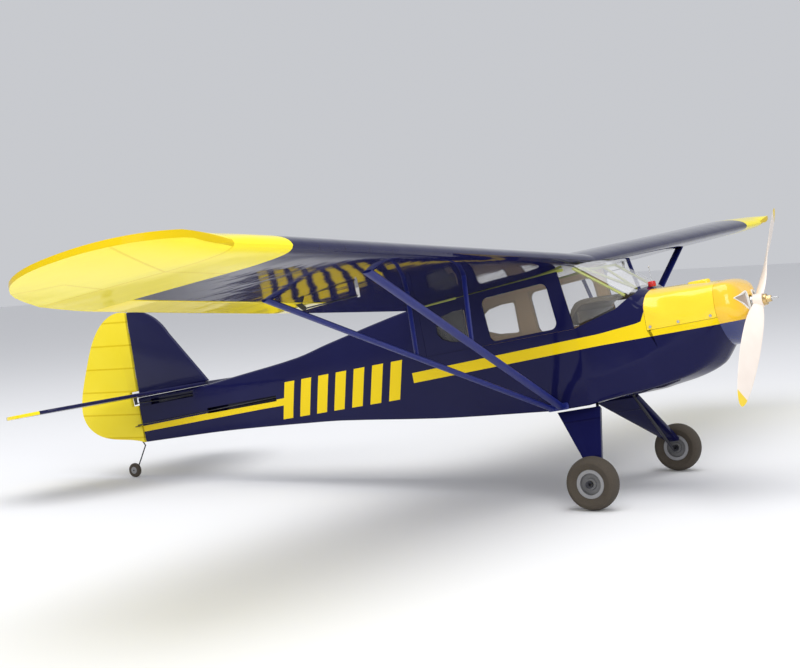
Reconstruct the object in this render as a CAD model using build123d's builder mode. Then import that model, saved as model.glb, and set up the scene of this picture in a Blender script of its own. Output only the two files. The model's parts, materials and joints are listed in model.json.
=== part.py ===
"""Radio-controlled high-wing cabin aeroplane, electric, on three wheels.

The airframe is drawn level: +X to the nose, +Y to port, +Z up, origin at the propeller's
centre on the thrust line, millimetres.  At the end every piece is tilted to the ground
attitude and stood on its wheels, origin under the middle of the whole model.
"""
import os
from math import sqrt

from build123d import *

# ---------------------------------------------------------------- driving dimensions
ground_angle = 8.12            # nose-up attitude on three wheels, degrees
wall = 2.5                     # fuselage sheet
cowl_seam_x = -39.0            # nose cowl meets the fuselage
hatch_rear_x = -127.0
hatch_seam_z = -11.0
tail_post_x = -1000.0

semi_span = 914.0
wing_le_x = -201.0
wing_chord = 251.0
wing_incidence = 0.050         # slope of the flat underside
wing_dihedral = 0.054          # rise per mm of span
wing_bottom_z = 73.8           # underside at the rib beside the cabin, at wing_bottom_x
wing_bottom_x = -450.0
cabin_half_width = 79.0
washout_start = 400.0
washout_rate = 0.018           # trailing edge rise per mm of span outboard of that
tip_rib_y = 787.0              # last full rib
tip_le_start = 810.0
tip_te_start = 660.0
tip_end_x = -295.0             # where the two tip curves meet
tip_rise = 9.0                 # the underside sweeps up to the tip bow by this much
skin = 0.9                     # wing sheet and film

hinge_x = -396.0               # aileron hinge line
aileron_in = 345.0
aileron_out = 698.0
surface_gap = 1.3              # hinge line to the faces on both sides of it
aileron_link_y = 405.0

propeller_radius = 188.0
blade_angle = 52.65            # degrees from +Z towards +Y
shaft_radius = 2.5
shaft_tip_radius = 1.5
shaft_tip_x = 24.5

wheel_radius = 33.0
wheel_width = 26.0
wheel_outer_y = 168.0
axle_x = -197.0
axle_z = -180.0
axle_radius = 2.0
running_gap = 0.05             # radial clearance of every turning fit

tail_plane_z = 32.5
tail_thickness = 5.0
elevator_hinge_x = -1004.0
tail_half_span = 266.0
fin_thickness = 6.0
rudder_foot = (-1004.0, -42.0)  # hinge line, lower end (x, z)
rudder_head = (-998.4, 166.0)   # hinge line, upper end
tail_wheel_radius = 11.3
tail_wheel_centre = (-1038.0, -82.0)

made = {}


def keep(name, part):
    """Store a finished level piece under its node name."""
    made[name] = part


def mirrored(part):
    """The same piece for the other side of the aeroplane."""
    return mirror(part, about=Plane.XZ)


def keep_pair_group(name, parts):
    """Store several pieces and their mirror images as one node of separate solids."""
    both = list(parts) + [mirrored(part) for part in parts]
    keep(name, Compound([solid for part in both for solid in part.solids()]))


def rod_between(start, end, radius):
    """A straight round rod from start to end."""
    start_point = Vector(*start)
    run = Vector(*end) - start_point
    with BuildPart() as rod:
        with BuildSketch(Plane(origin=start_point, z_dir=run)):
            Circle(radius)
        extrude(amount=run.length)
    return rod.part


def strut_between(start, end, chord, depth):
    """A streamlined strut, its long section axis lying fore and aft."""
    start_point = Vector(*start)
    run = Vector(*end) - start_point
    fore = Vector(1, 0, 0)
    across = fore - run * (fore.dot(run) / run.dot(run))
    with BuildPart() as strut:
        with BuildSketch(Plane(origin=start_point, x_dir=across, z_dir=run)):
            Ellipse(chord / 2, depth / 2)
        extrude(amount=run.length)
    return strut.part


def box_between(low, high):
    """A box from its lowest to its highest corner."""
    size = tuple(high[i] - low[i] for i in range(3))
    centre = tuple((high[i] + low[i]) / 2 for i in range(3))
    with BuildPart() as block:
        with Locations(centre):
            Box(*size)
    return block.part


def side_plate(outline, low_y, high_y):
    """A plate drawn in side view (x, z) and standing between two spanwise places."""
    with BuildPart() as plate:
        with BuildSketch(Plane.XZ.offset(-low_y)):
            with BuildLine():
                Polyline(*outline, close=True)
            make_face()
        extrude(amount=low_y - high_y)
    return plate.part


def tube_y(x, z, low_y, high_y, radius, bore=0.0):
    """A cylinder lying across the aeroplane, with an optional bore."""
    with BuildPart() as tube:
        with BuildSketch(Plane.XZ.offset(-low_y)):
            with Locations((x, z)):
                Circle(radius)
                if bore:
                    Circle(bore, mode=Mode.SUBTRACT)
        extrude(amount=low_y - high_y)
    return tube.part


def tube_x(low_x, high_x, radius, bore=0.0):
    """A cylinder on the thrust line, with an optional bore."""
    with BuildPart() as tube:
        with BuildSketch(Plane.YZ.offset(low_x)):
            Circle(radius)
            if bore:
                Circle(bore, mode=Mode.SUBTRACT)
        extrude(amount=high_x - low_x)
    return tube.part


# ---------------------------------------------------------------- fuselage
# Each frame: x, then half its outline as (y, z) from the top centre round to the keel.
def frame_outline(half_width, top, bottom, lower_edge=1.0):
    """A slab-sided frame with small corners and a trace of crown."""
    return [
        (0, top + 0.6), (half_width * 0.6, top), (half_width, top - lower_edge),
        (half_width + 0.4, 0), (half_width, bottom * 0.6),
        (half_width - lower_edge, bottom + lower_edge), (0, bottom),
    ]


nose_frame = [(0, 34), (30, 32.5), (49, 28.3), (56.6, 2), (50, -17), (30, -37.5), (0, -52)]
frames = [
    (cowl_seam_x, nose_frame),
    (-57, [(0, 35.5), (28, 34), (51, 28), (58, 0), (57, -26), (36, -57), (0, -71.5)]),
    (-87, [(0, 38), (27, 36.5), (54, 29), (60, 0), (60, -38), (44, -73), (0, -81)]),
    (-127, [(0, 40), (26, 39.3), (49, 32.4), (63, 20), (65, -45), (52, -81), (0, -87)]),
    (-141, [(0, 46), (40, 43), (64, 36), (68, 22), (69, -50), (58, -83), (0, -89)]),
    (-200, [(0, 63), (40, 62), (77, 60), (77, 20), (78, -58), (72, -88), (0, -91)]),
    (-217, frame_outline(79, 80, -91.5)),
    (-263, frame_outline(79, 80, -92)),
    (-360, frame_outline(79, 80, -84)),
    (-448, frame_outline(65, 77, -77)),
    (-605, frame_outline(47, 54, -59.5)),
    (-669, frame_outline(38, 43, -55)),
    (-792, frame_outline(21.5, 34, -48)),
    (-861, frame_outline(16, 29.3, -45)),
    (-915, frame_outline(12.1, 29.3, -43.6)),
    (tail_post_x, frame_outline(6, 29.3, -41.5)),
]


def frame_face(x, outline, inset):
    """One closed frame as a flat face, inset all round."""
    half = []
    for y, z in outline:
        inner_y = max(y - inset, 0)
        inner_z = z - inset if z > 20 else z + inset if z < -30 else z
        half.append((inner_y, inner_z))
    other = [(-y, z) for y, z in reversed(half[1:-1])]
    with BuildSketch(Plane.YZ.offset(x)) as face:
        with BuildLine():
            Polyline(*half, *other, close=True)
        make_face()
    return face.sketch


def fuselage_body(inset, last_x):
    """The whole outer form of the fuselage, or its inner form when inset."""
    with BuildPart() as body:
        faces = [frame_face(x, outline, inset) for x, outline in frames if x >= last_x]
        loft(sections=faces, ruled=True)
    return body.part


fuselage_outer = fuselage_body(0, tail_post_x)
fuselage_inner = fuselage_body(wall, -915)

hatch_gap = 0.4
windshield_foot_x = -138.0
sill_z = 8.0
cabin_rear_x = -441.0
cabin_opening = [
    (windshield_foot_x, 120), (windshield_foot_x, 36.5), (-160.6, 22.8), (-193, 14.4),
    (-216, sill_z), (cabin_rear_x, sill_z), (cabin_rear_x, 120),
]
elevator_slot = ((-1003, -30, 15.5), (-885, -5.5, 24.5))
rudder_slot = ((-862, -40, -14.5), (-722, -12, -6))

with BuildPart() as fuselage_hull:
    add(fuselage_outer)
    add(fuselage_inner, mode=Mode.SUBTRACT)
    add(side_plate(cabin_opening, -100, 100), mode=Mode.SUBTRACT)
    add(box_between((hatch_rear_x, -90, hatch_seam_z), (0, 90, 60)), mode=Mode.SUBTRACT)
    add(box_between(*rudder_slot), mode=Mode.SUBTRACT)
    add(box_between(*elevator_slot), mode=Mode.SUBTRACT)
keep("fuselage_hull", fuselage_hull.part)

# cover over the motor and battery, lifted off upwards
with BuildPart() as hatch:
    add(fuselage_outer)
    add(fuselage_inner, mode=Mode.SUBTRACT)
    add(
        box_between((hatch_rear_x + hatch_gap, -90, hatch_seam_z + hatch_gap),
                    (cowl_seam_x - hatch_gap, 90, 60)),
        mode=Mode.INTERSECT,
    )
    with BuildSketch(Plane.XY.offset(36.0)):
        with Locations((-71, 0)):
            SlotOverall(30, 14)
    extrude(amount=4.0)
keep("hatch", hatch.part)

screw_head_radius = 1.8
screw_xs = (-121.5, -86, -45.5)
screw_z = -7.0
screw_wall_y = {-121.5: 64.3, -86: 60.3, -45.5: 57.0}


def screw(x, side):
    """One small pan-head screw with a slotted head, lying across the aeroplane."""
    wall_y = screw_wall_y[x]
    with BuildPart() as one:
        with BuildSketch(Plane.XZ.offset(-side * wall_y)):
            with Locations((x, screw_z)):
                Circle(screw_head_radius)
        extrude(amount=-side * 1.0)
        with BuildSketch(Plane.XZ.offset(-side * (wall_y + 1.0))):
            with Locations((x, screw_z)):
                Rectangle(3.0, 0.5)
        extrude(amount=side * 0.4, mode=Mode.SUBTRACT)
        add(fuselage_outer, mode=Mode.SUBTRACT)
    return one.part


keep("hatch_screws", Compound([screw(x, side) for x in screw_xs for side in (1, -1)]))

# cabin side: a ply panel with a door post, a main window and a D-shaped rear window
window_corner = 9.0
panel_outline = [
    (cabin_rear_x + 0.2, sill_z + 0.2), (cabin_rear_x + 0.2, 74.2),
    (-226, 83.6), (-216.4, sill_z + 0.2),
]
main_window = [(-335.0, 11.5), (-339.5, 69.0), (-244.0, 73.0), (-238.0, 12.5)]
rear_window = [
    (-366.0, 18.0), (-366.0, 61.0), (-384.0, 61.0), (-404.0, 57.5), (-416.5, 49.0),
    (-417.0, 36.0), (-410.0, 27.0), (-395.0, 21.0),
]


def window_sketch(outline, radius, plane):
    """A window opening with rounded corners."""
    with BuildSketch(plane) as opening:
        with BuildLine():
            Polyline(*outline, close=True)
        make_face()
        fillet(opening.vertices(), radius)
    return opening.sketch


def cabin_strip(outer_offset, thickness):
    """Plan-form strip that follows the cabin wall, full height."""
    far = cabin_half_width - outer_offset
    near = far - thickness
    rear = 66.2 - outer_offset
    with BuildPart() as strip:
        with BuildSketch(Plane.XY.offset(-20)):
            with BuildLine():
                Polyline(
                    (-130, far), (-360, far), (-446, rear - 0.9),
                    (-446, rear - 0.9 - thickness), (-360, near), (-130, near), close=True,
                )
            make_face()
        extrude(amount=140)
    return strip.part


with BuildPart() as cabin_side:
    add(side_plate(panel_outline, 40, 100))
    add(cabin_strip(0.0, 2.4), mode=Mode.INTERSECT)
    for shape, radius in ((main_window, window_corner), (rear_window, 3.0)):
        extrude(window_sketch(shape, radius, Plane.XZ.offset(-40)), amount=-60,
                mode=Mode.SUBTRACT)
keep("cabin_side_left", cabin_side.part)
keep("cabin_side_right", mirrored(cabin_side.part))

front_window = [
    (-217.5, sill_z + 4), (-193, 16.2), (-160.6, 25.0), (-142, 38.2),
    (-203.5, 85.2), (-229.5, 83.3),
]


def window_pane(outline, grow):
    """Clear pane on the inner face of the cabin wall, lapping its opening."""
    with BuildPart() as pane:
        with BuildSketch(Plane.XZ.offset(-40)):
            with BuildLine():
                Polyline(*outline, close=True)
            make_face()
            if grow:
                offset(amount=grow, kind=Kind.INTERSECTION)
        extrude(amount=-60)
        add(cabin_strip(2.5, 0.8), mode=Mode.INTERSECT)
    return pane.part


panes = [window_pane(main_window, 3.0), window_pane(rear_window, 3.0)]
with BuildPart() as front_pane:
    add(side_plate(front_window, 75.4, 76.2))
panes.append(front_pane.part)
keep_pair_group("cabin_windows", panes)

# windshield: one bent sheet from the deck to the wing's leading edge
shield_base = ((-139.2, 69, 38.0), (-143.0, 0, 47.2), (-139.2, -69, 38.0))
shield_head = ((-202.0, 74.6, 86.8), (-198.6, 0, 90.0), (-202.0, -74.6, 86.8))
shield_sheet = 0.8
with BuildPart() as windshield:
    with BuildLine(mode=Mode.PRIVATE) as base_line:
        ThreePointArc(*shield_base)
    with BuildLine(mode=Mode.PRIVATE) as head_line:
        ThreePointArc(*shield_head)
    sheet = Face.make_surface_from_curves(base_line.edge(), head_line.edge())
    thicken(sheet, amount=shield_sheet, both=False)
keep("windshield", windshield.part)

tube_radius = 1.8
shield_corner_base = (-146.0, 66.0, 37.5)
shield_corner_head = (-205.0, 71.5, 83.0)
with BuildPart() as windshield_frame:
    for side in (1, -1):
        base = (shield_corner_base[0], side * shield_corner_base[1], shield_corner_base[2])
        head = (shield_corner_head[0], side * shield_corner_head[1], shield_corner_head[2])
        brace_head = (-206.0, side * 31.0, 81.6)
        add(rod_between(base, head, tube_radius))
        add(rod_between((-154.5, 0, 45.0), brace_head, tube_radius))
        add(rod_between((-206.0, 0, 80.6), head, tube_radius))
        with Locations(head):
            Sphere(tube_radius)
    with Locations((-154.5, 0, 45.0), (-206.0, 0, 80.6)):
        Sphere(tube_radius)
keep("windshield_frame", windshield_frame.part)

# coaming over the instrument panel, rolled down at its rear edge
with BuildPart() as instrument_panel:
    with BuildSketch(Plane.XZ.offset(-62)):
        with BuildLine():
            Polyline((-232, 13), (-223, 33), (-217, 39.5))
            Spline((-217, 39.5), (-210, 42.2), (-188, 42.4), (-157, 39.0))
            Polyline((-157, 39.0), (-157, 33.0), (-186, 36.6), (-208, 36.2), (-218, 29),
                     (-227, 12), (-232, 13))
        make_face()
    extrude(amount=124)
    with BuildSketch(Plane.YZ.offset(-216)):
        with Locations((0, 14)):
            Rectangle(123.8, 30)
    extrude(amount=2)
keep("instrument_panel", instrument_panel.part)

with BuildPart() as cabin_floor:
    with BuildSketch(Plane.XY.offset(-14)):
        with BuildLine():
            Polyline((-150, 62), (-225, 74), (-360, 74), (-430, 62), (-430, -62),
                     (-360, -74), (-225, -74), (-150, -62), close=True)
        make_face()
        for servo_y in (-27, 4):
            with Locations((-336, servo_y)):
                Rectangle(41, 21.4, mode=Mode.SUBTRACT)
    extrude(amount=3)
with BuildPart() as battery_tray:
    with Locations((-100, 0, -60)):
        Box(56, 56, 3)
keep("equipment_trays", Compound(cabin_floor.part.solids() + battery_tray.part.solids()))

# filler cap with its float gauge on the deck ahead of the windshield
cap_x = -132.5
with BuildPart() as fuel_cap:
    with Locations((cap_x, 0, 46.4)):
        Cylinder(5.2, 7.0)
    chamfer(fuel_cap.edges().group_by(Axis.Z)[-1], 0.8)
    with Locations((cap_x, 0, 58)):
        Cylinder(0.5, 22)
    with Locations((cap_x, 0, 69)):
        Sphere(1.2)
    add(fuselage_outer, mode=Mode.SUBTRACT)
keep("fuel_cap", fuel_cap.part)

# ---------------------------------------------------------------- nose
firewall_x = -62.0
with BuildPart() as firewall:
    with BuildSketch(Plane.YZ.offset(firewall_x)):
        with BuildLine():
            Polyline((-46, 26), (46, 26), (54, 0), (53, -24), (33, -55), (0, -68),
                     (-33, -55), (-53, -24), (-54, 0), close=True)
        make_face()
        Circle(9, mode=Mode.SUBTRACT)
    extrude(amount=-4)
keep("firewall", firewall.part)

cowl_centre_z = -9.0
cowl_front_x = -8.6
cowl_depth = cowl_seam_x - cowl_front_x
cowl_wall = 1.6


def cowl_face(x, inset):
    """Nose bowl section: the seam's outline shrinking towards the blunt front."""
    reach = min(1.0, max(0.0, (x - cowl_seam_x) / -cowl_depth))
    scale = (1 - reach ** 3.2) ** (1 / 2.6)
    points = []
    for y, z in nose_frame:
        near_y = max(y * scale - inset, 0)
        offset_z = (z - cowl_centre_z) * scale
        shrink = inset if abs(offset_z) > inset + 6 else 0
        points.append((near_y, cowl_centre_z + offset_z - (shrink if offset_z > 0 else -shrink)))
    other = [(-y, z) for y, z in reversed(points[1:-1])]
    with BuildSketch(Plane.YZ.offset(x)) as face:
        with BuildLine():
            Polyline(*points, *other, close=True)
        make_face()
    return face.sketch


cowl_xs = (cowl_seam_x, -33, -27, -22, -17.5, -14, -11.5, -9.6)
shaft_slot_radius = 9.5
inlet_outer = [(11, 15), (45, 8.5), (11, -11)]
inlet_inner = [(14.5, 11.0), (37.5, 7.2), (14.5, -5.6)]
with BuildPart() as nose_cowl:
    loft(sections=[cowl_face(x, 0) for x in cowl_xs], ruled=True)
    loft(sections=[cowl_face(x, cowl_wall) for x in cowl_xs[:-2]], ruled=True,
         mode=Mode.SUBTRACT)
    with BuildSketch(Plane.YZ.offset(cowl_seam_x)):
        Circle(shaft_slot_radius)
        for side in (1, -1):
            with BuildLine():
                Polyline(*[(side * y, z) for y, z in inlet_outer], close=True)
            make_face()
    extrude(amount=45, mode=Mode.SUBTRACT)
    with BuildSketch(Plane.YZ.offset(cowl_seam_x)):
        with Locations((0, -12)):
            Rectangle(1.2, 22)
    extrude(amount=45, mode=Mode.SUBTRACT)
keep("nose_cowl", nose_cowl.part)

louvre_pitch = 3.1
inlet_gap = 0.15
with BuildPart() as inlet_grille:
    with BuildSketch(Plane.YZ.offset(-24)):
        with BuildLine():
            Polyline(*inlet_outer, close=True)
        make_face()
        offset(amount=-inlet_gap, kind=Kind.INTERSECTION)
        with BuildLine():
            Polyline(*inlet_inner, close=True)
        make_face(mode=Mode.SUBTRACT)
    extrude(amount=12.5)
    for step in range(8):
        louvre_y = 14.2 + step * louvre_pitch
        top_z = 13.3 - 0.19 * (louvre_y - 11)
        low_z = -9.4 + 0.57 * (louvre_y - 11)
        with BuildSketch(Plane.YZ.offset(-23)):
            with Locations((louvre_y, (top_z + low_z) / 2)):
                Rectangle(1.2, top_z - low_z)
        extrude(amount=6)
keep_pair_group("inlet_grilles", [inlet_grille.part])

# motor: fixed stator and cross mount, turning bell with the shaft
bell_radius = 17.5
with BuildPart() as motor_mount:
    add(tube_x(firewall_x, -57.5, 21, 3.5))
    add(tube_x(-57.5, -30, 12.5, shaft_radius + running_gap))
keep("motor_mount", motor_mount.part)

with BuildPart() as motor_bell:
    add(tube_x(-56.5, -26, bell_radius, 13.2))
    add(tube_x(-29.4, -26, bell_radius))
    add(tube_x(-56.5, 16, shaft_radius))
    add(tube_x(16, shaft_tip_x, shaft_tip_radius))
keep("motor_bell", motor_bell.part)

hub_radius = 7.5
blade_hub_half = 6.0
bore_fit = shaft_radius + running_gap
with BuildPart() as prop_driver:
    add(tube_x(-13, -blade_hub_half - 0.02, hub_radius, bore_fit))
    chamfer(prop_driver.edges().group_by(Axis.X)[0], 0.8)
keep("prop_driver", prop_driver.part)

with BuildPart() as prop_nut:
    add(tube_x(blade_hub_half + 0.02, 10.5, hub_radius - 0.5, bore_fit))
    with BuildSketch(Plane.YZ.offset(10.5)):
        RegularPolygon(4.4, 6)
        Circle(bore_fit, mode=Mode.SUBTRACT)
    extrude(amount=5.4)
keep("prop_nut", prop_nut.part)

blade_stations = (  # share of radius, chord, thickness, pitch angle
    (0.03, 11, 8.0, 66), (0.08, 16, 7.2, 60), (0.16, 21, 5.2, 50), (0.32, 28, 3.8, 33),
    (0.52, 32, 3.0, 24), (0.72, 30, 2.4, 18), (0.88, 23, 1.9, 15), (0.97, 13, 1.4, 13),
    (1.0, 5, 0.9, 12),
)


def blade_face(share, chord, thickness, pitch):
    """One blade section, drawn on a plane across the blade and turned to its pitch."""
    plane = Plane(origin=(0, 0, share * propeller_radius), x_dir=(0, 1, 0), z_dir=(0, 0, 1))
    with BuildSketch(plane) as face:
        Ellipse(chord / 2, thickness / 2, rotation=pitch)
    return face.sketch


with BuildPart() as blade:
    loft(sections=[blade_face(*station) for station in blade_stations], ruled=True)
upright_blade = blade.part
with BuildPart() as propeller:
    add(tube_x(-blade_hub_half, blade_hub_half, 8.5))
    add(upright_blade)
    add(upright_blade.rotate(Axis.X, 180))
    with BuildSketch(Plane.YZ.offset(-blade_hub_half)):
        Circle(bore_fit)
    extrude(amount=2 * blade_hub_half, mode=Mode.SUBTRACT)
keep("propeller", propeller.part.rotate(Axis.X, -blade_angle))

with BuildPart() as battery:
    with Locations((-100, 0, -45.5)):
        Box(52, 42, 26)
    fillet(battery.edges().filter_by(Axis.X), 4)
keep("battery", battery.part)

with BuildPart() as speed_controller:
    with Locations((-100, 0, -28.4)):
        Box(44, 26, 8)
    fillet(speed_controller.edges().filter_by(Axis.X), 2)

with BuildPart() as receiver:
    with Locations((-270, 20, -4.9)):
        Box(42, 26, 12)
    fillet(receiver.edges().filter_by(Axis.Z), 3)
keep("radio_units", Compound(speed_controller.part.solids() + receiver.part.solids()))

# ---------------------------------------------------------------- wing
upper_shares = (
    (0, 3.5), (0.6, 4.8), (2.5, 6.5), (6, 8.2), (12, 10.0), (22, 11.4), (32, 11.7),
    (45, 11.0), (60, 9.15), (75, 6.3), (88, 3.3), (100, 0.5),
)
lower_shares = ((0, 3.5), (0.6, 2.4), (2.5, 1.4), (6, 0.8), (12, 0.35), (22, 0.0), (60, 0.0),
                (100, 0.0))


def leading_x(y):
    """Leading edge, curving back at the tip."""
    reach = max(0.0, (y - tip_le_start) / (semi_span - tip_le_start))
    return wing_le_x + (tip_end_x - wing_le_x) * (1 - (1 - min(reach, 1) ** 2.4) ** (1 / 2.4))


def trailing_x(y):
    """Trailing edge, curving forward at the tip."""
    reach = max(0.0, (y - tip_te_start) / (semi_span - tip_te_start))
    return tip_end_x - (tip_end_x - wing_le_x + wing_chord) * sqrt(1 - min(reach, 1) ** 2)


def underside_z(x, y):
    """Height of the wing's flat underside line."""
    base = wing_bottom_z + wing_incidence * (x - wing_bottom_x)
    base += wing_dihedral * (y - cabin_half_width)
    twist = washout_rate * max(0.0, min(y, 760) - washout_start)
    lift = tip_rise * max(0.0, (y - tip_rib_y) / (semi_span - tip_rib_y))
    return base + twist * (wing_le_x - x) / wing_chord + lift


def share_height(table, share):
    """Section height, percent of chord, at a share of the chord."""
    for (a, low), (b, high) in zip(table, table[1:]):
        if a <= share <= b:
            return low + (high - low) * (share - a) / (b - a)
    return 0.0


def section_face(y, inset=0.0, first=0.0, last=100.0):
    """Wing section at one spanwise place, as a face."""
    chord = leading_x(y) - trailing_x(y)

    def point(table, share, change):
        x = leading_x(y) - chord * share / 100
        return (x, underside_z(x, y) + share_height(table, share) * chord / 100 + change)

    shares = [first] + [share for share, _ in upper_shares if first < share < last] + [last]
    upper = [point(upper_shares, share, -inset) for share in shares]
    shares = [first] + [share for share, _ in lower_shares if first < share < last] + [last]
    lower = [point(lower_shares, share, inset) for share in shares]
    with BuildSketch(Plane.XZ.offset(-y)) as face:
        with BuildLine():
            Spline(*upper)
            Spline(*lower)
            Line(upper[-1], lower[-1])
            if first > 0:
                Line(upper[0], lower[0])
        make_face()
    return face.sketch


outer_ys = (0.2, washout_start, tip_te_start, 730, tip_rib_y, tip_le_start, 845, 870, 890, 903,
            910, 913)
inner_ys = (3.0, washout_start, tip_te_start, 730, tip_rib_y, tip_le_start, 845, 870)
rear_spar_share = 71.0

with BuildPart() as wing_form:
    loft(sections=[section_face(y) for y in outer_ys], ruled=True)
with BuildPart() as wing_hollow:
    loft(sections=[section_face(y, skin, 2.0, rear_spar_share) for y in inner_ys], ruled=True)

hinge_share = (wing_le_x - hinge_x) / wing_chord * 100


def hinge_z(y):
    """Aileron hinge line height, at mid thickness."""
    half = share_height(upper_shares, hinge_share) * wing_chord / 200
    return underside_z(hinge_x, y) + half


arm_length = 14.0
servo_pivot_x = -322.0
servo_pivot_z = underside_z(servo_pivot_x, aileron_link_y) + 5.0

with BuildPart() as wing_skin:
    add(wing_form.part)
    add(wing_hollow.part, mode=Mode.SUBTRACT)
    add(box_between((-470, aileron_in, 0), (hinge_x + surface_gap, aileron_out, 200)),
        mode=Mode.SUBTRACT)
    add(box_between((-335, aileron_link_y - 1.6, 60), (-309, aileron_link_y + 3.4, 103)),
        mode=Mode.SUBTRACT)
keep("wing_skin_left", wing_skin.part)
keep("wing_skin_right", mirrored(wing_skin.part))

end_gap = 1.2
horn_plate = 1.2
horn_x = hinge_x
horn_foot_z = hinge_z(aileron_link_y)
with BuildPart() as aileron:
    add(wing_form.part)
    with BuildPart(mode=Mode.INTERSECT):
        add(box_between((-470, aileron_in + end_gap, 0),
                        (hinge_x - surface_gap - 1.2, aileron_out - end_gap, 200)))
    horn_outline = [
        (horn_x - 14, horn_foot_z - 4), (horn_x - 5, horn_foot_z - 4.5),
        (horn_x + 2, horn_foot_z - arm_length + 2), (horn_x + 2, horn_foot_z - arm_length - 2),
        (horn_x - 2, horn_foot_z - arm_length - 2),
    ]
    add(side_plate(horn_outline, aileron_link_y - horn_plate / 2,
                   aileron_link_y + horn_plate / 2))
keep("aileron_left", aileron.part)
keep("aileron_right", mirrored(aileron.part))

pin_radius = 0.55


def pins_along(start, end):
    """Three short hinge pins spaced along a hinge line."""
    start_point = Vector(*start)
    run = Vector(*end) - start_point
    half = run.normalized() * 9
    pins = []
    for share in (0.12, 0.5, 0.88):
        centre = start_point + run * share
        pins.append(rod_between(tuple(centre - half), tuple(centre + half), pin_radius))
    return pins


aileron_pins = pins_along((hinge_x, aileron_in, hinge_z(aileron_in)),
                          (hinge_x, aileron_out, hinge_z(aileron_out)))
aileron_pins += [mirrored(pin) for pin in aileron_pins]

# ribs, main spar and joiner inside the hollow wing
spar_x = -279.0
spar_width = 6.0
rib_pitch = 44.0
rib_inset = skin + 0.4


def spar_face(y, grow):
    """Upright spar section filling the wing's depth."""
    chord = leading_x(y) - trailing_x(y)
    share = (leading_x(y) - spar_x) / chord * 100
    low = underside_z(spar_x, y) + skin + 1.2
    crown = share_height(upper_shares, share) * chord / 100
    high = underside_z(spar_x, y) + crown - skin - 1.6
    with BuildSketch(Plane.XZ.offset(-y)) as face:
        with Locations((spar_x, (low + high) / 2)):
            Rectangle(spar_width + 2 * grow, high - low + 2 * grow)
    return face.sketch


spar_ys = (5.0, washout_start, tip_te_start, 820)
with BuildPart() as spar:
    loft(sections=[spar_face(y, 0) for y in spar_ys], ruled=True)
with BuildPart() as spar_slot:
    loft(sections=[spar_face(y, 0.1) for y in spar_ys], ruled=True)

rib_solids = []
for step in range(17):
    rib_y = tip_rib_y - 2 - step * rib_pitch
    with BuildPart() as rib:
        extrude(section_face(rib_y, rib_inset, 3.0, rear_spar_share - 1), amount=2)
        add(spar_slot.part, mode=Mode.SUBTRACT)
        x_mid = leading_x(rib_y) - 0.5 * (leading_x(rib_y) - trailing_x(rib_y))
        with BuildSketch(Plane.XZ.offset(-rib_y + 4)):
            with Locations((x_mid - 20, underside_z(x_mid - 20, rib_y) + 12)):
                Circle(6)
            with Locations((x_mid + 76, underside_z(x_mid + 76, rib_y) + 14)):
                Circle(6)
        extrude(amount=-10, mode=Mode.SUBTRACT)
    rib_solids += rib.part.solids()
rib_solids += spar.part.solids()
keep("wing_frame_left", Compound(rib_solids))
keep("wing_frame_right", mirrored(made["wing_frame_left"]))

with BuildPart() as aileron_servo:
    servo_y = aileron_link_y - 7.8
    servo_top = underside_z(-318, servo_y) + 20
    with Locations((-318, servo_y, servo_top - 8.8)):
        Box(24, 10, 17)
    add(tube_y(servo_pivot_x, servo_pivot_z, servo_y + 4.8, servo_y + 6.9, 2.2))
aileron_servos = aileron_servo.part.solids() + mirrored(aileron_servo.part).solids()

with BuildPart() as aileron_servo_arm:
    arm_outline = [
        (servo_pivot_x - 2.6, servo_pivot_z + 2.4), (servo_pivot_x + 2.6, servo_pivot_z + 2.4),
        (servo_pivot_x + 1.6, servo_pivot_z - arm_length - 1.8),
        (servo_pivot_x - 1.6, servo_pivot_z - arm_length - 1.8),
    ]
    add(side_plate(arm_outline, aileron_link_y - 0.6, aileron_link_y + 0.6))
keep("aileron_servo_arm_left", aileron_servo_arm.part)
keep("aileron_servo_arm_right", mirrored(aileron_servo_arm.part))

link_y = aileron_link_y + 1.9
keep("aileron_pushrod_left", rod_between(
    (servo_pivot_x, link_y, servo_pivot_z - arm_length),
    (horn_x, link_y, horn_foot_z - arm_length), 0.8))
keep("aileron_pushrod_right", mirrored(made["aileron_pushrod_left"]))

# ---------------------------------------------------------------- wing struts
strut_chord = 13.0
strut_depth = 5.5
strut_foot = (-257.0, 82.5, -87.0)
front_strut_head = (-255.0, 490.0)
rear_strut_head = (-388.5, 490.0)


def strut_head_z(head):
    """Height just inside the wing at a strut's upper end, trimmed to the wing later."""
    return underside_z(head[0], head[1]) + 1.0


def trimmed(part, *cutters):
    """A part cut back to the faces that it meets."""
    with BuildPart() as cut:
        add(part)
        for cutter in cutters:
            add(cutter, mode=Mode.SUBTRACT)
    return cut.part


front_foot = (strut_foot[0] + 5, strut_foot[1], strut_foot[2])
rear_foot = (strut_foot[0] - 9, strut_foot[1], strut_foot[2])
front_head = (front_strut_head[0], front_strut_head[1], strut_head_z(front_strut_head))
rear_head = (rear_strut_head[0], rear_strut_head[1], strut_head_z(rear_strut_head))
front_strut = strut_between(front_foot, front_head, strut_chord, strut_depth)
rear_strut = strut_between(rear_foot, rear_head, strut_chord * 0.8, strut_depth)
keep("front_strut_left", trimmed(front_strut, wing_form.part))
keep("rear_strut_left", trimmed(rear_strut, wing_form.part))
keep("front_strut_right", mirrored(made["front_strut_left"]))
keep("rear_strut_right", mirrored(made["rear_strut_left"]))


def along(start, end, share):
    """A point part of the way along a strut."""
    return tuple(start[i] + (end[i] - start[i]) * share for i in range(3))


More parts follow.
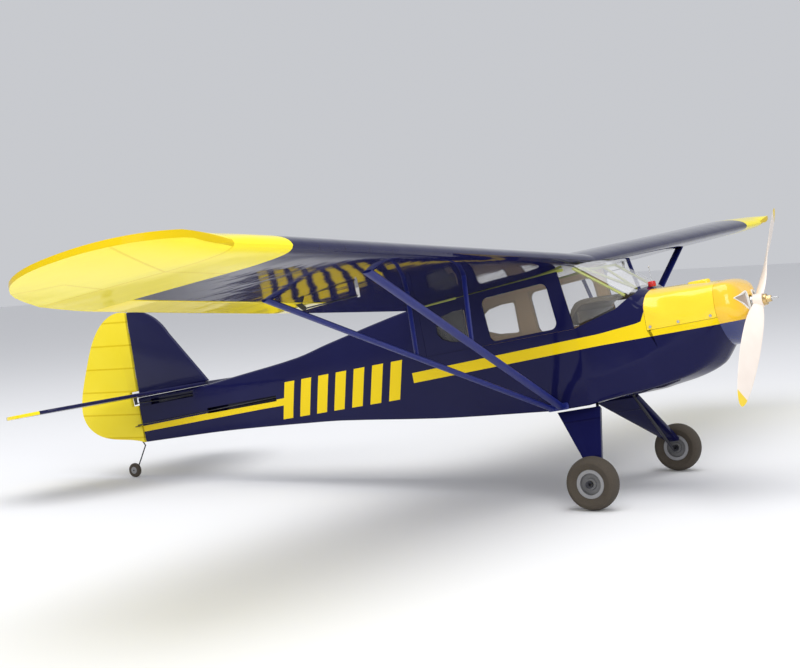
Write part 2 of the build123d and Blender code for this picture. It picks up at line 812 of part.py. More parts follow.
jury_share = 0.51
front_mid = along(front_foot, front_head, jury_share)
rear_mid = along(rear_foot, rear_head, jury_share)
jury_drop = 1.0
jury_top_y = 266.0
jury_struts = []
for mid, top_x in ((front_mid, -260.0), (rear_mid, -339.0)):
    start = (mid[0], mid[1], mid[2] + jury_drop)
    end = (top_x, jury_top_y, underside_z(top_x, jury_top_y) + 1.0)
    jury_struts.append(trimmed(strut_between(start, end, 6.0, 3.4), wing_form.part,
                               front_strut, rear_strut))
keep_pair_group("jury_struts", jury_struts)

with BuildPart() as strut_fitting:
    with BuildSketch(Plane.XZ.offset(-79.2)):
        with Locations((-258, -86.5)):
            RectangleRounded(30, 9, 3)
    extrude(amount=-1.0)
keep_pair_group("strut_fittings", [strut_fitting.part])

# ---------------------------------------------------------------- main landing gear
leg_depth = 5.0
leg_corner_front = Vector(-206, 66, -95.5)
leg_corner_rear = Vector(-266, 66, -95.5)
leg_tip = Vector(-197, 140, -168)
leg_fore = (leg_corner_front - leg_corner_rear).normalized()
leg_middle = (leg_corner_front + leg_corner_rear) * 0.5
leg_run = leg_tip - leg_middle
leg_normal = leg_fore.cross(leg_run).normalized()
leg_down = leg_normal.cross(leg_fore).normalized()
leg_plane = Plane(origin=leg_middle - leg_normal * (leg_depth / 2), x_dir=leg_fore,
                  z_dir=leg_normal)
leg_reach = abs(leg_run.dot(leg_down))
leg_side = 1 if leg_plane.y_dir.dot(leg_down) > 0 else -1
wire_radius = 2.0
wire_root = (-212.0, 60.0, -89.0)
wire_knee = (axle_x, 134.0, axle_z)
with BuildPart() as gear_leg:
    with BuildSketch(leg_plane):
        with BuildLine():
            Polyline((30, 0), (-30, 0), (leg_run.dot(leg_fore) - 7, leg_side * leg_reach),
                     (leg_run.dot(leg_fore) + 9, leg_side * leg_reach), close=True)
        make_face()
    extrude(amount=leg_depth)
    fillet(gear_leg.edges().filter_by(GeomType.LINE).sort_by(Axis.Z)[-1], 0.5)
    add(rod_between(wire_root, wire_knee, wire_radius + 0.15), mode=Mode.SUBTRACT)
    add(fuselage_outer, mode=Mode.SUBTRACT)
keep("gear_leg_left", gear_leg.part)
keep("gear_leg_right", mirrored(gear_leg.part))

axle_end_y = wheel_outer_y + 5.0
with BuildPart() as axle_wire:
    add(rod_between(wire_root, wire_knee, wire_radius))
    with Locations(wire_knee):
        Sphere(wire_radius)
    add(tube_y(axle_x, axle_z, wire_knee[1], axle_end_y, axle_radius))
    add(fuselage_outer, mode=Mode.SUBTRACT)

collar_radius = 4.6
collar_length = 3.6
wheel_inner_y = wheel_outer_y - wheel_width
hub_face_in = wheel_inner_y + 4
hub_face_out = wheel_outer_y - 4
axle_pieces = [axle_wire.part]
for low_y in (hub_face_in - 0.4 - collar_length, hub_face_out + 0.4):
    axle_pieces.append(tube_y(axle_x, axle_z, low_y, low_y + collar_length, collar_radius,
                              axle_radius + 0.02))
keep_pair_group("axles", axle_pieces)

hub_rim_radius = 18.0
with BuildPart() as tyre:
    with BuildSketch(Plane.XY):
        with BuildLine():
            Polyline((hub_rim_radius + 0.02, -wheel_width * 0.36), (24, -wheel_width / 2))
            Spline((24, -wheel_width / 2), (30.5, -wheel_width * 0.36), (wheel_radius, 0),
                   (30.5, wheel_width * 0.36), (24, wheel_width / 2))
            Polyline((24, wheel_width / 2), (hub_rim_radius + 0.02, wheel_width * 0.36),
                     (hub_rim_radius + 0.02, -wheel_width * 0.36))
        make_face()
    revolve(axis=Axis.Y)
with BuildPart() as hub:
    half_hub = wheel_width / 2 - 4
    with BuildSketch(Plane.XY):
        with BuildLine():
            Polyline(
                (axle_radius + running_gap, -half_hub), (7, -half_hub), (7, -half_hub + 4),
                (13, -half_hub + 4), (14, -half_hub), (hub_rim_radius, -half_hub),
                (hub_rim_radius, half_hub), (14, half_hub), (13, half_hub - 4),
                (7, half_hub - 4), (7, half_hub), (axle_radius + running_gap, half_hub),
                close=True,
            )
        make_face()
    revolve(axis=Axis.Y)
wheel_middle_y = wheel_outer_y - wheel_width / 2
for name, part in (("tyre", tyre.part), ("wheel_hub", hub.part)):
    placed = part.moved(Location((axle_x, wheel_middle_y, axle_z)))
    keep(name + "_left", placed)
    keep(name + "_right", mirrored(placed))

# ---------------------------------------------------------------- tail
stab_top = tail_plane_z + tail_thickness / 2
stab_bottom = tail_plane_z - tail_thickness / 2
stab_le_root = -867.0
elevator_front = elevator_hinge_x - surface_gap - 0.7
stab_rear = elevator_hinge_x + surface_gap + 0.7
elevator_chord = 56.0
rudder_room = 14.0
tip_round = 34.0


def tail_le_x(y):
    """Swept leading edge of the tailplane, straight then rounded into the tip."""
    sweep = stab_le_root - 92.0 * (y / tail_half_span)
    reach = max(0.0, (y - (tail_half_span - tip_round)) / tip_round)
    return sweep - 44.0 * (1 - sqrt(max(0.0, 1 - reach ** 2)))


with BuildPart() as stabilizer:
    with BuildSketch(Plane.XY.offset(stab_bottom)):
        with BuildLine():
            edge_ys = (232, 249, 259, 264.5)
            starboard = [(tail_le_x(y), -y) for y in reversed(edge_ys)]
            port = [(tail_le_x(y), y) for y in edge_ys]
            Polyline((stab_rear, -tail_half_span + 0.4), *starboard, (stab_le_root, -6),
                     (stab_le_root, 6), *port, (stab_rear, tail_half_span - 0.4), close=True)
        make_face()
    extrude(amount=tail_thickness)
    chamfer(stabilizer.edges().group_by(Axis.Z)[-1].filter_by(Axis.Y, reverse=True), 0.9)
    add(box_between((stab_rear - 1, -20, 20), (stab_rear + 4, 20, 50)), mode=Mode.SUBTRACT)
keep("stabilizer", stabilizer.part)

horn_y = -8.6
with BuildPart() as elevator:
    with BuildSketch(Plane.XY.offset(stab_bottom)):
        with BuildLine():
            inner = (elevator_front, rudder_room)
            inner_rear = (elevator_front - elevator_chord, 44)
            arc_start = (elevator_front - elevator_chord, 192)
            arc_end = (elevator_front, tail_half_span)
            Polyline(arc_end, inner, inner_rear, arc_start)
            Spline(arc_start, (elevator_front - 46, 237), (elevator_front - 22, 260), arc_end)
        make_face()
    extrude(amount=tail_thickness)
    chamfer(elevator.edges().group_by(Axis.Z)[-1], 0.8)
    chamfer(elevator.edges().group_by(Axis.Z)[0], 0.8)
joiner_radius = 1.3
joiner_tip_x = elevator_front - 14
joiner_y = rudder_room + 5
with BuildPart() as elevator_joiner:
    add(tube_y(elevator_hinge_x, tail_plane_z, -joiner_y, joiner_y, joiner_radius))
    for side in (1, -1):
        with Locations((elevator_hinge_x, side * joiner_y, tail_plane_z)):
            Sphere(joiner_radius)
        add(rod_between((elevator_hinge_x, side * joiner_y, tail_plane_z),
                        (joiner_tip_x, side * joiner_y, tail_plane_z), joiner_radius))
    horn = [
        (elevator_hinge_x - 3.0, tail_plane_z + 1.8), (elevator_hinge_x + 3.5, tail_plane_z + 1.0),
        (elevator_hinge_x + 2.5, tail_plane_z - 13), (elevator_hinge_x - 2.5, tail_plane_z - 13),
    ]
    add(side_plate(horn, horn_y - 0.6, horn_y + 0.6))
with BuildPart() as joiner_socket:
    for side in (1, -1):
        add(rod_between((elevator_hinge_x, side * joiner_y, tail_plane_z),
                        (joiner_tip_x - 0.2, side * joiner_y, tail_plane_z),
                        joiner_radius + 0.05))
for name, part in (("elevator_left", elevator.part), ("elevator_right", mirrored(elevator.part))):
    with BuildPart() as socketed:
        add(part)
        add(joiner_socket.part, mode=Mode.SUBTRACT)
    keep(name, socketed.part)
keep("elevator_joiner", elevator_joiner.part)

elevator_pins = []
for side in (1, -1):
    elevator_pins += pins_along((elevator_hinge_x, side * 28, tail_plane_z),
                                (elevator_hinge_x, side * 257, tail_plane_z))


def rudder_hinge_x(z):
    """The rudder's hinge line leans forward slightly as it rises."""
    share = (z - rudder_foot[1]) / (rudder_head[1] - rudder_foot[1])
    return rudder_foot[0] + (rudder_head[0] - rudder_foot[0]) * share


rudder_gap = 1.8
with BuildPart() as fin:
    with BuildSketch(Plane.XZ.offset(-fin_thickness / 2)):
        with BuildLine():
            Polyline((rudder_hinge_x(160) + rudder_gap, 165), (rudder_hinge_x(stab_top)
                     + rudder_gap, stab_top + 0.02), (-861, stab_top + 0.02), (-922, 120))
            Spline((-922, 120), (-940, 144), (-962, 159), (rudder_hinge_x(160) + rudder_gap, 165))
        make_face()
    extrude(amount=fin_thickness)
keep("fin", fin.part)

with BuildPart() as rudder:
    with BuildSketch(Plane.XZ.offset(-fin_thickness / 2)):
        with BuildLine():
            top = (rudder_hinge_x(166) - rudder_gap, 165.5)
            foot = (rudder_hinge_x(-42) - rudder_gap, -41.0)
            Line(foot, top)
            Spline(top, (-1014, 168), (-1042, 161), (-1068, 140), (-1101, 84), (-1120, 38),
                   (-1122, 17), (-1113, -4), (-1094, -19), (-1050, -31), foot)
        make_face()
    extrude(amount=fin_thickness)
    add(box_between((-1018.0, -5, tail_plane_z - 15.0), (-990, 5, tail_plane_z + 7.5)),
        mode=Mode.SUBTRACT)
keep("rudder", rudder.part)

rudder_pins = []
for low_z, high_z in ((-38, -20), (60, 78), (132, 150)):
    rudder_pins.append(rod_between((rudder_hinge_x(low_z), 0, low_z),
                                   (rudder_hinge_x(high_z), 0, high_z), pin_radius))
all_pins = aileron_pins + elevator_pins + rudder_pins
keep("hinge_pins", Compound([solid for pin in all_pins for solid in pin.solids()]))

rudder_horn_z = -14.5
rudder_horn_x = rudder_hinge_x(rudder_horn_z)
rudder_arm = 14.0
with BuildPart() as rudder_horn:
    with BuildSketch(Plane.XY.offset(rudder_horn_z - 0.6)):
        with BuildLine():
            Polyline(
                (rudder_horn_x - 3, -3.02), (rudder_horn_x - 13, -3.02),
                (rudder_horn_x - 4, -rudder_arm - 3), (rudder_horn_x + 2.5, -rudder_arm - 3),
                (rudder_horn_x + 2.5, -rudder_arm + 3), close=True,
            )
        make_face()
    extrude(amount=1.2)
keep("rudder_horn", rudder_horn.part)

# steerable tail wheel on a wire under the rudder
tail_x, tail_z = tail_wheel_centre
wire = 1.0
fork_y = 5.5
wire_points = [
    (rudder_foot[0] - 8, 0, -39.0), (rudder_foot[0] - 4, 0, -46.0), (-1028, fork_y, -68),
    (tail_x, fork_y, tail_z),
]
with BuildPart() as tail_wheel_wire:
    for start, end in zip(wire_points, wire_points[1:]):
        add(rod_between(start, end, wire))
        with Locations(end):
            Sphere(wire + 0.03)
    add(tube_y(tail_x, tail_z, -4.2, fork_y + 0.9, wire))
with BuildPart() as wire_socket:
    add(rod_between(wire_points[1], (rudder_foot[0] - 9.2, 0, -36.9), wire + 0.05))
made["rudder"] = made["rudder"] - wire_socket.part
keep("tail_wheel_wire", tail_wheel_wire.part)

with BuildPart() as tail_tyre:
    with BuildSketch(Plane.XY):
        with BuildLine():
            Line((5.52, -3), (9, -3))
            Spline((9, -3), (10.8, -2), (tail_wheel_radius, 0), (10.8, 2), (9, 3))
            Polyline((9, 3), (5.52, 3), (5.52, -3))
        make_face()
    revolve(axis=Axis.Y)
keep("tail_tyre", tail_tyre.part.moved(Location((tail_x, 0, tail_z))))
keep("tail_hub", tube_y(tail_x, tail_z, -3.4, 3.4, 5.5, wire + running_gap))

# ---------------------------------------------------------------- tail controls
servo_x = -330.0
elevator_arm = 12.0
rod_radius = 0.8
elevator_rod_rear = (elevator_hinge_x, horn_y - 1.9, tail_plane_z - 11)
elevator_rod_front = (servo_x, -8.0, -2.6)
rudder_rod_rear = (rudder_horn_x, -rudder_arm, rudder_horn_z + 1.9)
rudder_rod_front = (servo_x, -41.0, -2.6)
keep("elevator_pushrod", rod_between(elevator_rod_front, elevator_rod_rear, rod_radius))
keep("rudder_pushrod", rod_between(rudder_rod_front, rudder_rod_rear, rod_radius))


def servo_body(y):
    """Servo standing in the floor, its output boss on top."""
    with BuildPart() as servo:
        with Locations((-336, y, -23)):
            Box(40.6, 20, 34)
        with Locations((-336, y, -9.9)):
            Box(54, 20, 2.0)
        with Locations((servo_x, y, -5.9)):
            Cylinder(3, 0.4)
    return servo.part.solids()


def servo_arm(pivot_y, length):
    """Arm on a servo's output, reaching to starboard under its rod."""
    with BuildPart() as arm:
        with BuildSketch(Plane.XY.offset(-5.4)):
            with BuildLine():
                Polyline((servo_x - 3.4, pivot_y + 3), (servo_x + 3.4, pivot_y + 3),
                         (servo_x + 1.8, pivot_y - length - 2),
                         (servo_x - 1.8, pivot_y - length - 2), close=True)
            make_face()
        extrude(amount=1.4)
    return arm.part


elevator_pivot_y = 4.0
rudder_pivot_y = -27.0
tail_servos = servo_body(elevator_pivot_y) + servo_body(rudder_pivot_y)
keep("servos", Compound(tail_servos + aileron_servos))
keep("elevator_servo_arm", servo_arm(elevator_pivot_y, elevator_arm))
keep("rudder_servo_arm", servo_arm(rudder_pivot_y, rudder_arm))

# the wing is let into the fuselage behind the cabin
made["fuselage_hull"] = trimmed(made["fuselage_hull"], wing_form.part, mirrored(wing_form.part))

# ---------------------------------------------------------------- stand it on its wheels
nose_up = Location((0, 0, 0), (0, -ground_angle, 0))
standing = {name: part.moved(nose_up) for name, part in made.items()}
whole = Compound(list(standing.values())).bounding_box()
set_down = Location((-(whole.min.X + whole.max.X) / 2, -(whole.min.Y + whole.max.Y) / 2,
                     -whole.min.Z))

os.makedirs("parts", exist_ok=True)
for name, part in standing.items():
    piece = part.moved(set_down)
    piece.label = name
    export_step(piece, f"parts/{name}.step")

print("nodes", len(made))
print("set down by", tuple(round(value, 4) for value in set_down.position))
print("size", tuple(round(value, 2) for value in whole.size))
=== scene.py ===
"""Looks for the radio-controlled high-wing cabin aeroplane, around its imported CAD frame."""
import json
import math
import bpy
import bmesh
from mathutils import Matrix, Vector


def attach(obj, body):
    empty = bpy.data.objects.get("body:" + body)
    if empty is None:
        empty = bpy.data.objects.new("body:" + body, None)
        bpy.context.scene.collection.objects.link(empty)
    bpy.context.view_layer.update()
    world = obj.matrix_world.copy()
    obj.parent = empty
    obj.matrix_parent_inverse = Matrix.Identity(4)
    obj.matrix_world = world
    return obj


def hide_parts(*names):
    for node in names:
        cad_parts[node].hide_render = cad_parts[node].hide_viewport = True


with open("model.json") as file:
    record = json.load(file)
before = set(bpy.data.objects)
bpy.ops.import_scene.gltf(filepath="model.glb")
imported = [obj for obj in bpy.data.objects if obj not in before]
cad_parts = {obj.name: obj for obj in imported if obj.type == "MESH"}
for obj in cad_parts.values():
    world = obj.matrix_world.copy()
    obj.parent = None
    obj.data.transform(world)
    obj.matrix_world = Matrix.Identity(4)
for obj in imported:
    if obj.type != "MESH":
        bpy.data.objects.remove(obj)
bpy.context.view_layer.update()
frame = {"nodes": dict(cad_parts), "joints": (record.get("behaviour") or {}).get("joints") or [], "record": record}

# ---------------------------------------------------------------- level drawing space
# The aeroplane is drawn level, in millimetres from the propeller's centre: x to the nose,
# y to port, z up.  The frame's propeller joint gives that origin and the thrust line.
MM = 0.001
joints = {joint["name"]: joint for joint in frame["joints"]}
DATUM = Vector(joints["propeller_spin"]["pos_m"])
NOSE = Vector(joints["propeller_spin"]["axis"]).normalized()
PORT = Vector((0, 1, 0))
UPWARD = NOSE.cross(PORT)
TURN = Matrix((NOSE, PORT, UPWARD)).transposed()
LEVEL = Matrix.Translation(DATUM) @ TURN.to_4x4() @ Matrix.Scale(MM, 4)
BODY_OF = {node: body for body, nodes in frame["record"]["behaviour"]["bodies"].items()
           for node in nodes}

WING_LE = -201.0
WING_CHORD = 251.0
HINGE_X = -396.0
AILERON_IN = 345.0
AILERON_OUT = 698.0
TIP_RIB_Y = 787.0
SEMI_SPAN = 914.0
RIB_PITCH = 44.0
SPAR_X = -279.0
AILERON_LINK_Y = 405.0


# ---------------------------------------------------------------- node-tree helpers
def new_material(name):
    """An empty node material with a Principled shader; returns material, tree, shader."""
    material = bpy.data.materials.new(name)
    material.use_nodes = True
    tree = material.node_tree
    return material, tree, tree.nodes["Principled BSDF"]


def set_inputs(node, **values):
    """Sets a node's sockets by name, with underscores for spaces."""
    for key, value in values.items():
        node.inputs[key.replace("_", " ")].default_value = value
    return node


def level_coordinates(tree):
    """Object coordinates turned level, in millimetres from the propeller's centre."""
    coordinate = tree.nodes.new("ShaderNodeTexCoord")
    mapping = tree.nodes.new("ShaderNodeMapping")
    mapping.vector_type = "TEXTURE"
    mapping.inputs["Location"].default_value = DATUM
    mapping.inputs["Rotation"].default_value = TURN.to_euler()
    mapping.inputs["Scale"].default_value = (MM, MM, MM)
    tree.links.new(coordinate.outputs["Object"], mapping.inputs["Vector"])
    return mapping.outputs["Vector"]


def split(tree, vector):
    """The x, y and z outputs of a vector."""
    node = tree.nodes.new("ShaderNodeSeparateXYZ")
    tree.links.new(vector, node.inputs[0])
    return node.outputs


def surface_normal(tree):
    """The true surface normal."""
    node = tree.nodes.new("ShaderNodeNewGeometry")
    return node.outputs["True Normal"]


def put(tree, socket, value):
    """Links or sets a socket."""
    if isinstance(value, bpy.types.NodeSocket):
        tree.links.new(value, socket)
    else:
        socket.default_value = value


def calc(tree, operation, first, second=0.0, third=0.0):
    """One Math node."""
    node = tree.nodes.new("ShaderNodeMath")
    node.operation = operation
    put(tree, node.inputs[0], first)
    put(tree, node.inputs[1], second)
    put(tree, node.inputs[2], third)
    return node.outputs[0]


def all_of(tree, *masks):
    """Product of several masks."""
    result = masks[0]
    for mask in masks[1:]:
        result = calc(tree, "MULTIPLY", result, mask)
    return result


def either(tree, first, second):
    """The larger of two masks."""
    return calc(tree, "MAXIMUM", first, second)


def above(tree, value, limit):
    """1 where value is over the limit."""
    return calc(tree, "GREATER_THAN", value, limit)


def below(tree, value, limit):
    """1 where value is under the limit."""
    return calc(tree, "LESS_THAN", value, limit)


def profile(tree, value, points):
    """A height that follows a bent line of (place, height) points."""
    low, high = points[0][0], points[-1][0]
    heights = [height for _, height in points]
    floor_height, top_height = min(heights) - 1, max(heights) + 1
    place = calc(tree, "DIVIDE", calc(tree, "SUBTRACT", value, low), high - low)
    ramp = tree.nodes.new("ShaderNodeValToRGB")
    tree.links.new(place, ramp.inputs[0])
    elements = ramp.color_ramp.elements
    while len(elements) < len(points):
        elements.new(0.5)
    for element, (spot, height) in zip(elements, points):
        element.position = (spot - low) / (high - low)
    for element, (spot, height) in zip(elements, points):
        shade = (height - floor_height) / (top_height - floor_height)
        element.color = (shade, shade, shade, 1)
    return calc(tree, "MULTIPLY_ADD", ramp.outputs[0], top_height - floor_height, floor_height)


def blend_colour(tree, factor, first, second):
    """Mix of two colours."""
    node = tree.nodes.new("ShaderNodeMix")
    node.data_type = "RGBA"
    put(tree, node.inputs["Factor"], factor)
    put(tree, node.inputs["A"], first)
    put(tree, node.inputs["B"], second)
    return node.outputs["Result"]


def cloud(tree, vector, scale, detail=2.0, roughness=0.5):
    """Noise output, 0 to 1."""
    node = tree.nodes.new("ShaderNodeTexNoise")
    tree.links.new(vector, node.inputs["Vector"])
    set_inputs(node, Scale=scale, Detail=detail, Roughness=roughness)
    return node.outputs["Fac"]


def raise_surface(tree, shader, height, strength, distance):
    """Bump from a height output; distance in millimetres."""
    node = tree.nodes.new("ShaderNodeBump")
    set_inputs(node, Strength=strength, Distance=distance * MM)
    tree.links.new(height, node.inputs["Height"])
    tree.links.new(node.outputs["Normal"], shader.inputs["Normal"])


def stretched(tree, vector, scale):
    """The same coordinates at a different scale on each axis."""
    node = tree.nodes.new("ShaderNodeMapping")
    node.inputs["Scale"].default_value = scale
    tree.links.new(vector, node.inputs["Vector"])
    return node.outputs["Vector"]


# ---------------------------------------------------------------- colours
NAVY = (0.0060, 0.0060, 0.042, 1)
NAVY_LIGHT = (0.009, 0.010, 0.060, 1)
YELLOW = (0.88, 0.70, 0.012, 1)
STRIPE_YELLOW = (0.82, 0.60, 0.008, 1)
COWL_YELLOW = (0.86, 0.50, 0.012, 1)
COWL_BLUE = (0.012, 0.022, 0.14, 1)
STRUT_BLUE = (0.007, 0.012, 0.14, 1)
PLY = (0.84, 0.62, 0.36, 1)
PLY_DARK = (0.68, 0.47, 0.25, 1)


def film_finish(tree, shader, vector, seams=None, wrinkle=1.0, gloss=1.34):
    """Ironed film: a mirror gloss with slight pulls, over what shows through from below."""
    set_inputs(shader, Roughness=0.07, IOR=gloss)
    pulls = cloud(tree, stretched(tree, vector, (0.010, 0.022, 0.016)), 1.0, 3.0)
    fine = cloud(tree, vector, 0.35, 2.0)
    height = calc(tree, "MULTIPLY_ADD", pulls, wrinkle * 2.2, calc(tree, "MULTIPLY", fine, 0.03))
    if seams is not None:
        height = calc(tree, "ADD", height, calc(tree, "MULTIPLY", seams, 0.25))
    raise_surface(tree, shader, height, 0.5, 0.5)


def line_mask(tree, value, pitch, width, offset=0.0):
    """Thin lines at an even pitch."""
    phase = calc(tree, "PINGPONG", calc(tree, "ADD", value, offset), pitch / 2)
    return below(tree, phase, width / 2)


def fuselage_film():
    """Navy film with the yellow side line and a row of slanted bars aft."""
    material, tree, shader = new_material("navy_film_with_side_line")
    vector = level_coordinates(tree)
    x, y, z = split(tree, vector)
    top = profile(tree, x, [(-1004, -15.5), (-750, -12.5), (-470, -10), (-187, -4), (-140, 0),
                            (-131, 2), (-126, 18), (-38, 18)])
    bottom = profile(tree, x, [(-1004, -24.5), (-750, -22.3), (-469, -23.6), (-190, -18.6),
                               (-38, -19.3)])
    line = all_of(tree, below(tree, z, top), above(tree, z, bottom))
    clear = either(tree, above(tree, x, -470), below(tree, x, -703))
    line = all_of(tree, line, clear)
    slanted = calc(tree, "MULTIPLY_ADD", z, -0.30, x)
    share = calc(tree, "FRACT", calc(tree, "DIVIDE", calc(tree, "ADD", slanted, 1000), 33.0))
    bars = all_of(
        tree, below(tree, share, 0.58), above(tree, z, -42.5), below(tree, z, 10.5),
        above(tree, slanted, -703), below(tree, slanted, -484),
    )
    mask = either(tree, line, bars)
    mask = all_of(tree, mask, above(tree, calc(tree, "ABSOLUTE", y), 4.0))
    shade = cloud(tree, vector, 0.012, 2.0)
    navy = blend_colour(tree, shade, NAVY, NAVY_LIGHT)
    put(tree, shader.inputs["Base Color"], blend_colour(tree, mask, navy, STRIPE_YELLOW))
    film_finish(tree, shader, vector, wrinkle=0.8, gloss=1.24)
    return material


def plain_film(name, dark, light, pitch=RIB_PITCH, show=0.10, edge=None, gloss=1.34):
    """Film over ribs: the structure shows as faint lines; edge adds a yellow margin."""
    material, tree, shader = new_material(name)
    vector = level_coordinates(tree)
    axes = split(tree, vector)
    first_line = 40 * pitch - TIP_RIB_Y + 1.0
    seams = line_mask(tree, calc(tree, "ABSOLUTE", axes[1]), pitch, 2.0, first_line)
    shade = cloud(tree, vector, 0.012, 2.0)
    colour = blend_colour(tree, shade, dark, light)
    seam_tint = tuple(channel * (1 - show) for channel in dark[:3]) + (1,)
    colour = blend_colour(tree, seams, colour, seam_tint)
    if edge is not None:
        reach = calc(tree, "ABSOLUTE", axes[1])
        colour = blend_colour(tree, above(tree, reach, edge), colour, YELLOW)
    put(tree, shader.inputs["Base Color"], colour)
    film_finish(tree, shader, vector, seams, gloss=gloss)
    return material


def segment_mask(tree, x, y, start, end, width):
    """1 along a straight line between two places, drawn in plan."""
    run = Vector((end[0] - start[0], end[1] - start[1]))
    length = run.length
    run.normalize()
    across = calc(tree, "SUBTRACT",
                  calc(tree, "MULTIPLY", calc(tree, "SUBTRACT", x, start[0]), run.y),
                  calc(tree, "MULTIPLY", calc(tree, "SUBTRACT", y, start[1]), run.x))
    ahead = calc(tree, "ADD",
                 calc(tree, "MULTIPLY", calc(tree, "SUBTRACT", x, start[0]), run.x),
                 calc(tree, "MULTIPLY", calc(tree, "SUBTRACT", y, start[1]), run.y))
    near = below(tree, calc(tree, "ABSOLUTE", across), width / 2)
    return all_of(tree, near, above(tree, ahead, 0.0), below(tree, ahead, length))


TIP_BRACES = (((SPAR_X, AILERON_OUT), (SPAR_X, TIP_RIB_Y)), ((SPAR_X, TIP_RIB_Y), (-236, 908)),
              ((-352, TIP_RIB_Y), (-346, 842)), ((-346, 842), (-402, 866)),
              ((WING_LE, TIP_RIB_Y), (-440, TIP_RIB_Y)))


def tip_film():
    """Yellow film over the tip's last rib, spar and braces, which show as darker lines."""
    material, tree, shader = new_material("yellow_tip_film")
    vector = level_coordinates(tree)
    x, y, z = split(tree, vector)
    reach = calc(tree, "ABSOLUTE", y)
    seams = segment_mask(tree, x, reach, *TIP_BRACES[0], 2.6)
    for start, end in TIP_BRACES[1:]:
        seams = either(tree, seams, segment_mask(tree, x, reach, start, end, 2.6))
    shade = cloud(tree, vector, 0.015, 2.0)
    colour = blend_colour(tree, shade, (0.94, 0.80, 0.035, 1), (0.97, 0.86, 0.060, 1))
    colour = blend_colour(tree, seams, colour, (0.86, 0.68, 0.020, 1))
    # Painted light: flat top and bottom faces keep the bright yellow, and steep faces such as the bent bow's rim
    # take a darker yellow as painted shade.
    lit_flat_faces = above(tree, calc(tree, "ABSOLUTE", split(tree, surface_normal(tree))[2]), 0.72)
    colour = blend_colour(tree, lit_flat_faces, (0.66, 0.47, 0.008, 1), colour)
    inboard = below(tree, reach, TIP_RIB_Y + 1.0)
    colour = blend_colour(tree, all_of(tree, inboard, below(tree, seams, 0.5)), colour,
                          (0.94, 0.80, 0.035, 1))
    put(tree, shader.inputs["Base Color"], colour)
    film_finish(tree, shader, vector, seams, gloss=1.14)
    return material


def rudder_film():
    """Yellow film over the rudder's horizontal and slanted ribs."""
    material, tree, shader = new_material("yellow_rudder_film")
    vector = level_coordinates(tree)
    x, y, z = split(tree, vector)
    ribs = line_mask(tree, calc(tree, "MULTIPLY_ADD", x, 0.12, z), 37.0, 2.4, 6.0)
    seams = above(tree, ribs, 0.5)
    shade = cloud(tree, vector, 0.02, 2.0)
    colour = blend_colour(tree, shade, (0.84, 0.66, 0.02, 1), (0.90, 0.74, 0.05, 1))
    colour = blend_colour(tree, seams, colour, (0.72, 0.53, 0.01, 1))
    put(tree, shader.inputs["Base Color"], colour)
    film_finish(tree, shader, vector, seams, gloss=1.2)
    return material


def cowl_paint():
    """Yellow over blue enamel, parted along the side line's lower edge."""
    material, tree, shader = new_material("cowl_paint")
    vector = level_coordinates(tree)
    x, y, z = split(tree, vector)
    mottled = cloud(tree, vector, 0.03, 2.0)
    yellow = blend_colour(tree, mottled, COWL_YELLOW, (0.90, 0.56, 0.02, 1))
    colour = blend_colour(tree, below(tree, z, -19.0), yellow, COWL_BLUE)
    put(tree, shader.inputs["Base Color"], colour)
    set_inputs(shader, Roughness=0.16, Coat_Weight=0.5, Coat_Roughness=0.04)
    raise_surface(tree, shader, cloud(tree, vector, 0.25, 3.0), 0.25, 0.25)
    return material


def paint(name, dark, light, roughness, grain=0.2, bump=0.15, metallic=0.0, coat=0.0, spread=0.04):
    """A coat of paint or moulded skin with a little colour drift and surface grain."""
    material, tree, shader = new_material(name)
    vector = level_coordinates(tree)
    drift = cloud(tree, vector, spread, 3.0)
    put(tree, shader.inputs["Base Color"], blend_colour(tree, drift, dark, light))
    set_inputs(shader, Roughness=roughness, Metallic=metallic, Coat_Weight=coat)
    raise_surface(tree, shader, cloud(tree, vector, grain, 3.0), bump, 0.3)
    return material


def light_ply():
    """Clear-sealed light ply with fine fore-and-aft grain."""
    material, tree, shader = new_material("light_ply")
    vector = level_coordinates(tree)
    grain = cloud(tree, stretched(tree, vector, (0.02, 0.35, 0.35)), 1.0, 4.0, 0.6)
    put(tree, shader.inputs["Base Color"], blend_colour(tree, grain, PLY_DARK, PLY))
    set_inputs(shader, Roughness=0.55)
    raise_surface(tree, shader, grain, 0.3, 0.3)
    return material


def clear_sheet(name, tint, cover):
    """Clear acetate; cover is how much of the light it catches."""
    material, tree, shader = new_material(name)
    set_inputs(shader, Base_Color=tint, Roughness=0.03, IOR=1.35, Alpha=cover)
    vector = level_coordinates(tree)
    raise_surface(tree, shader, cloud(tree, vector, 0.02, 2.0), 0.1, 0.4)
    return material


def propeller_paint():
    """Cream moulded blades with yellow tips."""
    material, tree, shader = new_material("propeller_nylon")
    vector = level_coordinates(tree)
    x, y, z = split(tree, vector)
    reach = calc(tree, "SQRT", calc(tree, "ADD", calc(tree, "MULTIPLY", y, y),
                                    calc(tree, "MULTIPLY", z, z)))
    drift = cloud(tree, vector, 0.05, 3.0)
    cream = blend_colour(tree, drift, (0.80, 0.70, 0.62, 1), (0.88, 0.79, 0.71, 1))
    colour = blend_colour(tree, above(tree, reach, 171.0), cream, (0.86, 0.62, 0.02, 1))
    put(tree, shader.inputs["Base Color"], colour)
    set_inputs(shader, Roughness=0.35)
    raise_surface(tree, shader, cloud(tree, vector, 0.8, 2.0), 0.1, 0.2)
    return material


def tyre_foam():
    """Dark foam rubber with open cells, some paler than others."""
    material, tree, shader = new_material("tyre_foam")
    vector = level_coordinates(tree)
    cells = cloud(tree, vector, 0.9, 4.0, 0.7)
    colour = blend_colour(tree, cells, (0.030, 0.024, 0.018, 1), (0.085, 0.068, 0.050, 1))
    put(tree, shader.inputs["Base Color"], colour)
    set_inputs(shader, Roughness=0.85)
    raise_surface(tree, shader, cells, 0.6, 0.5)
    return material


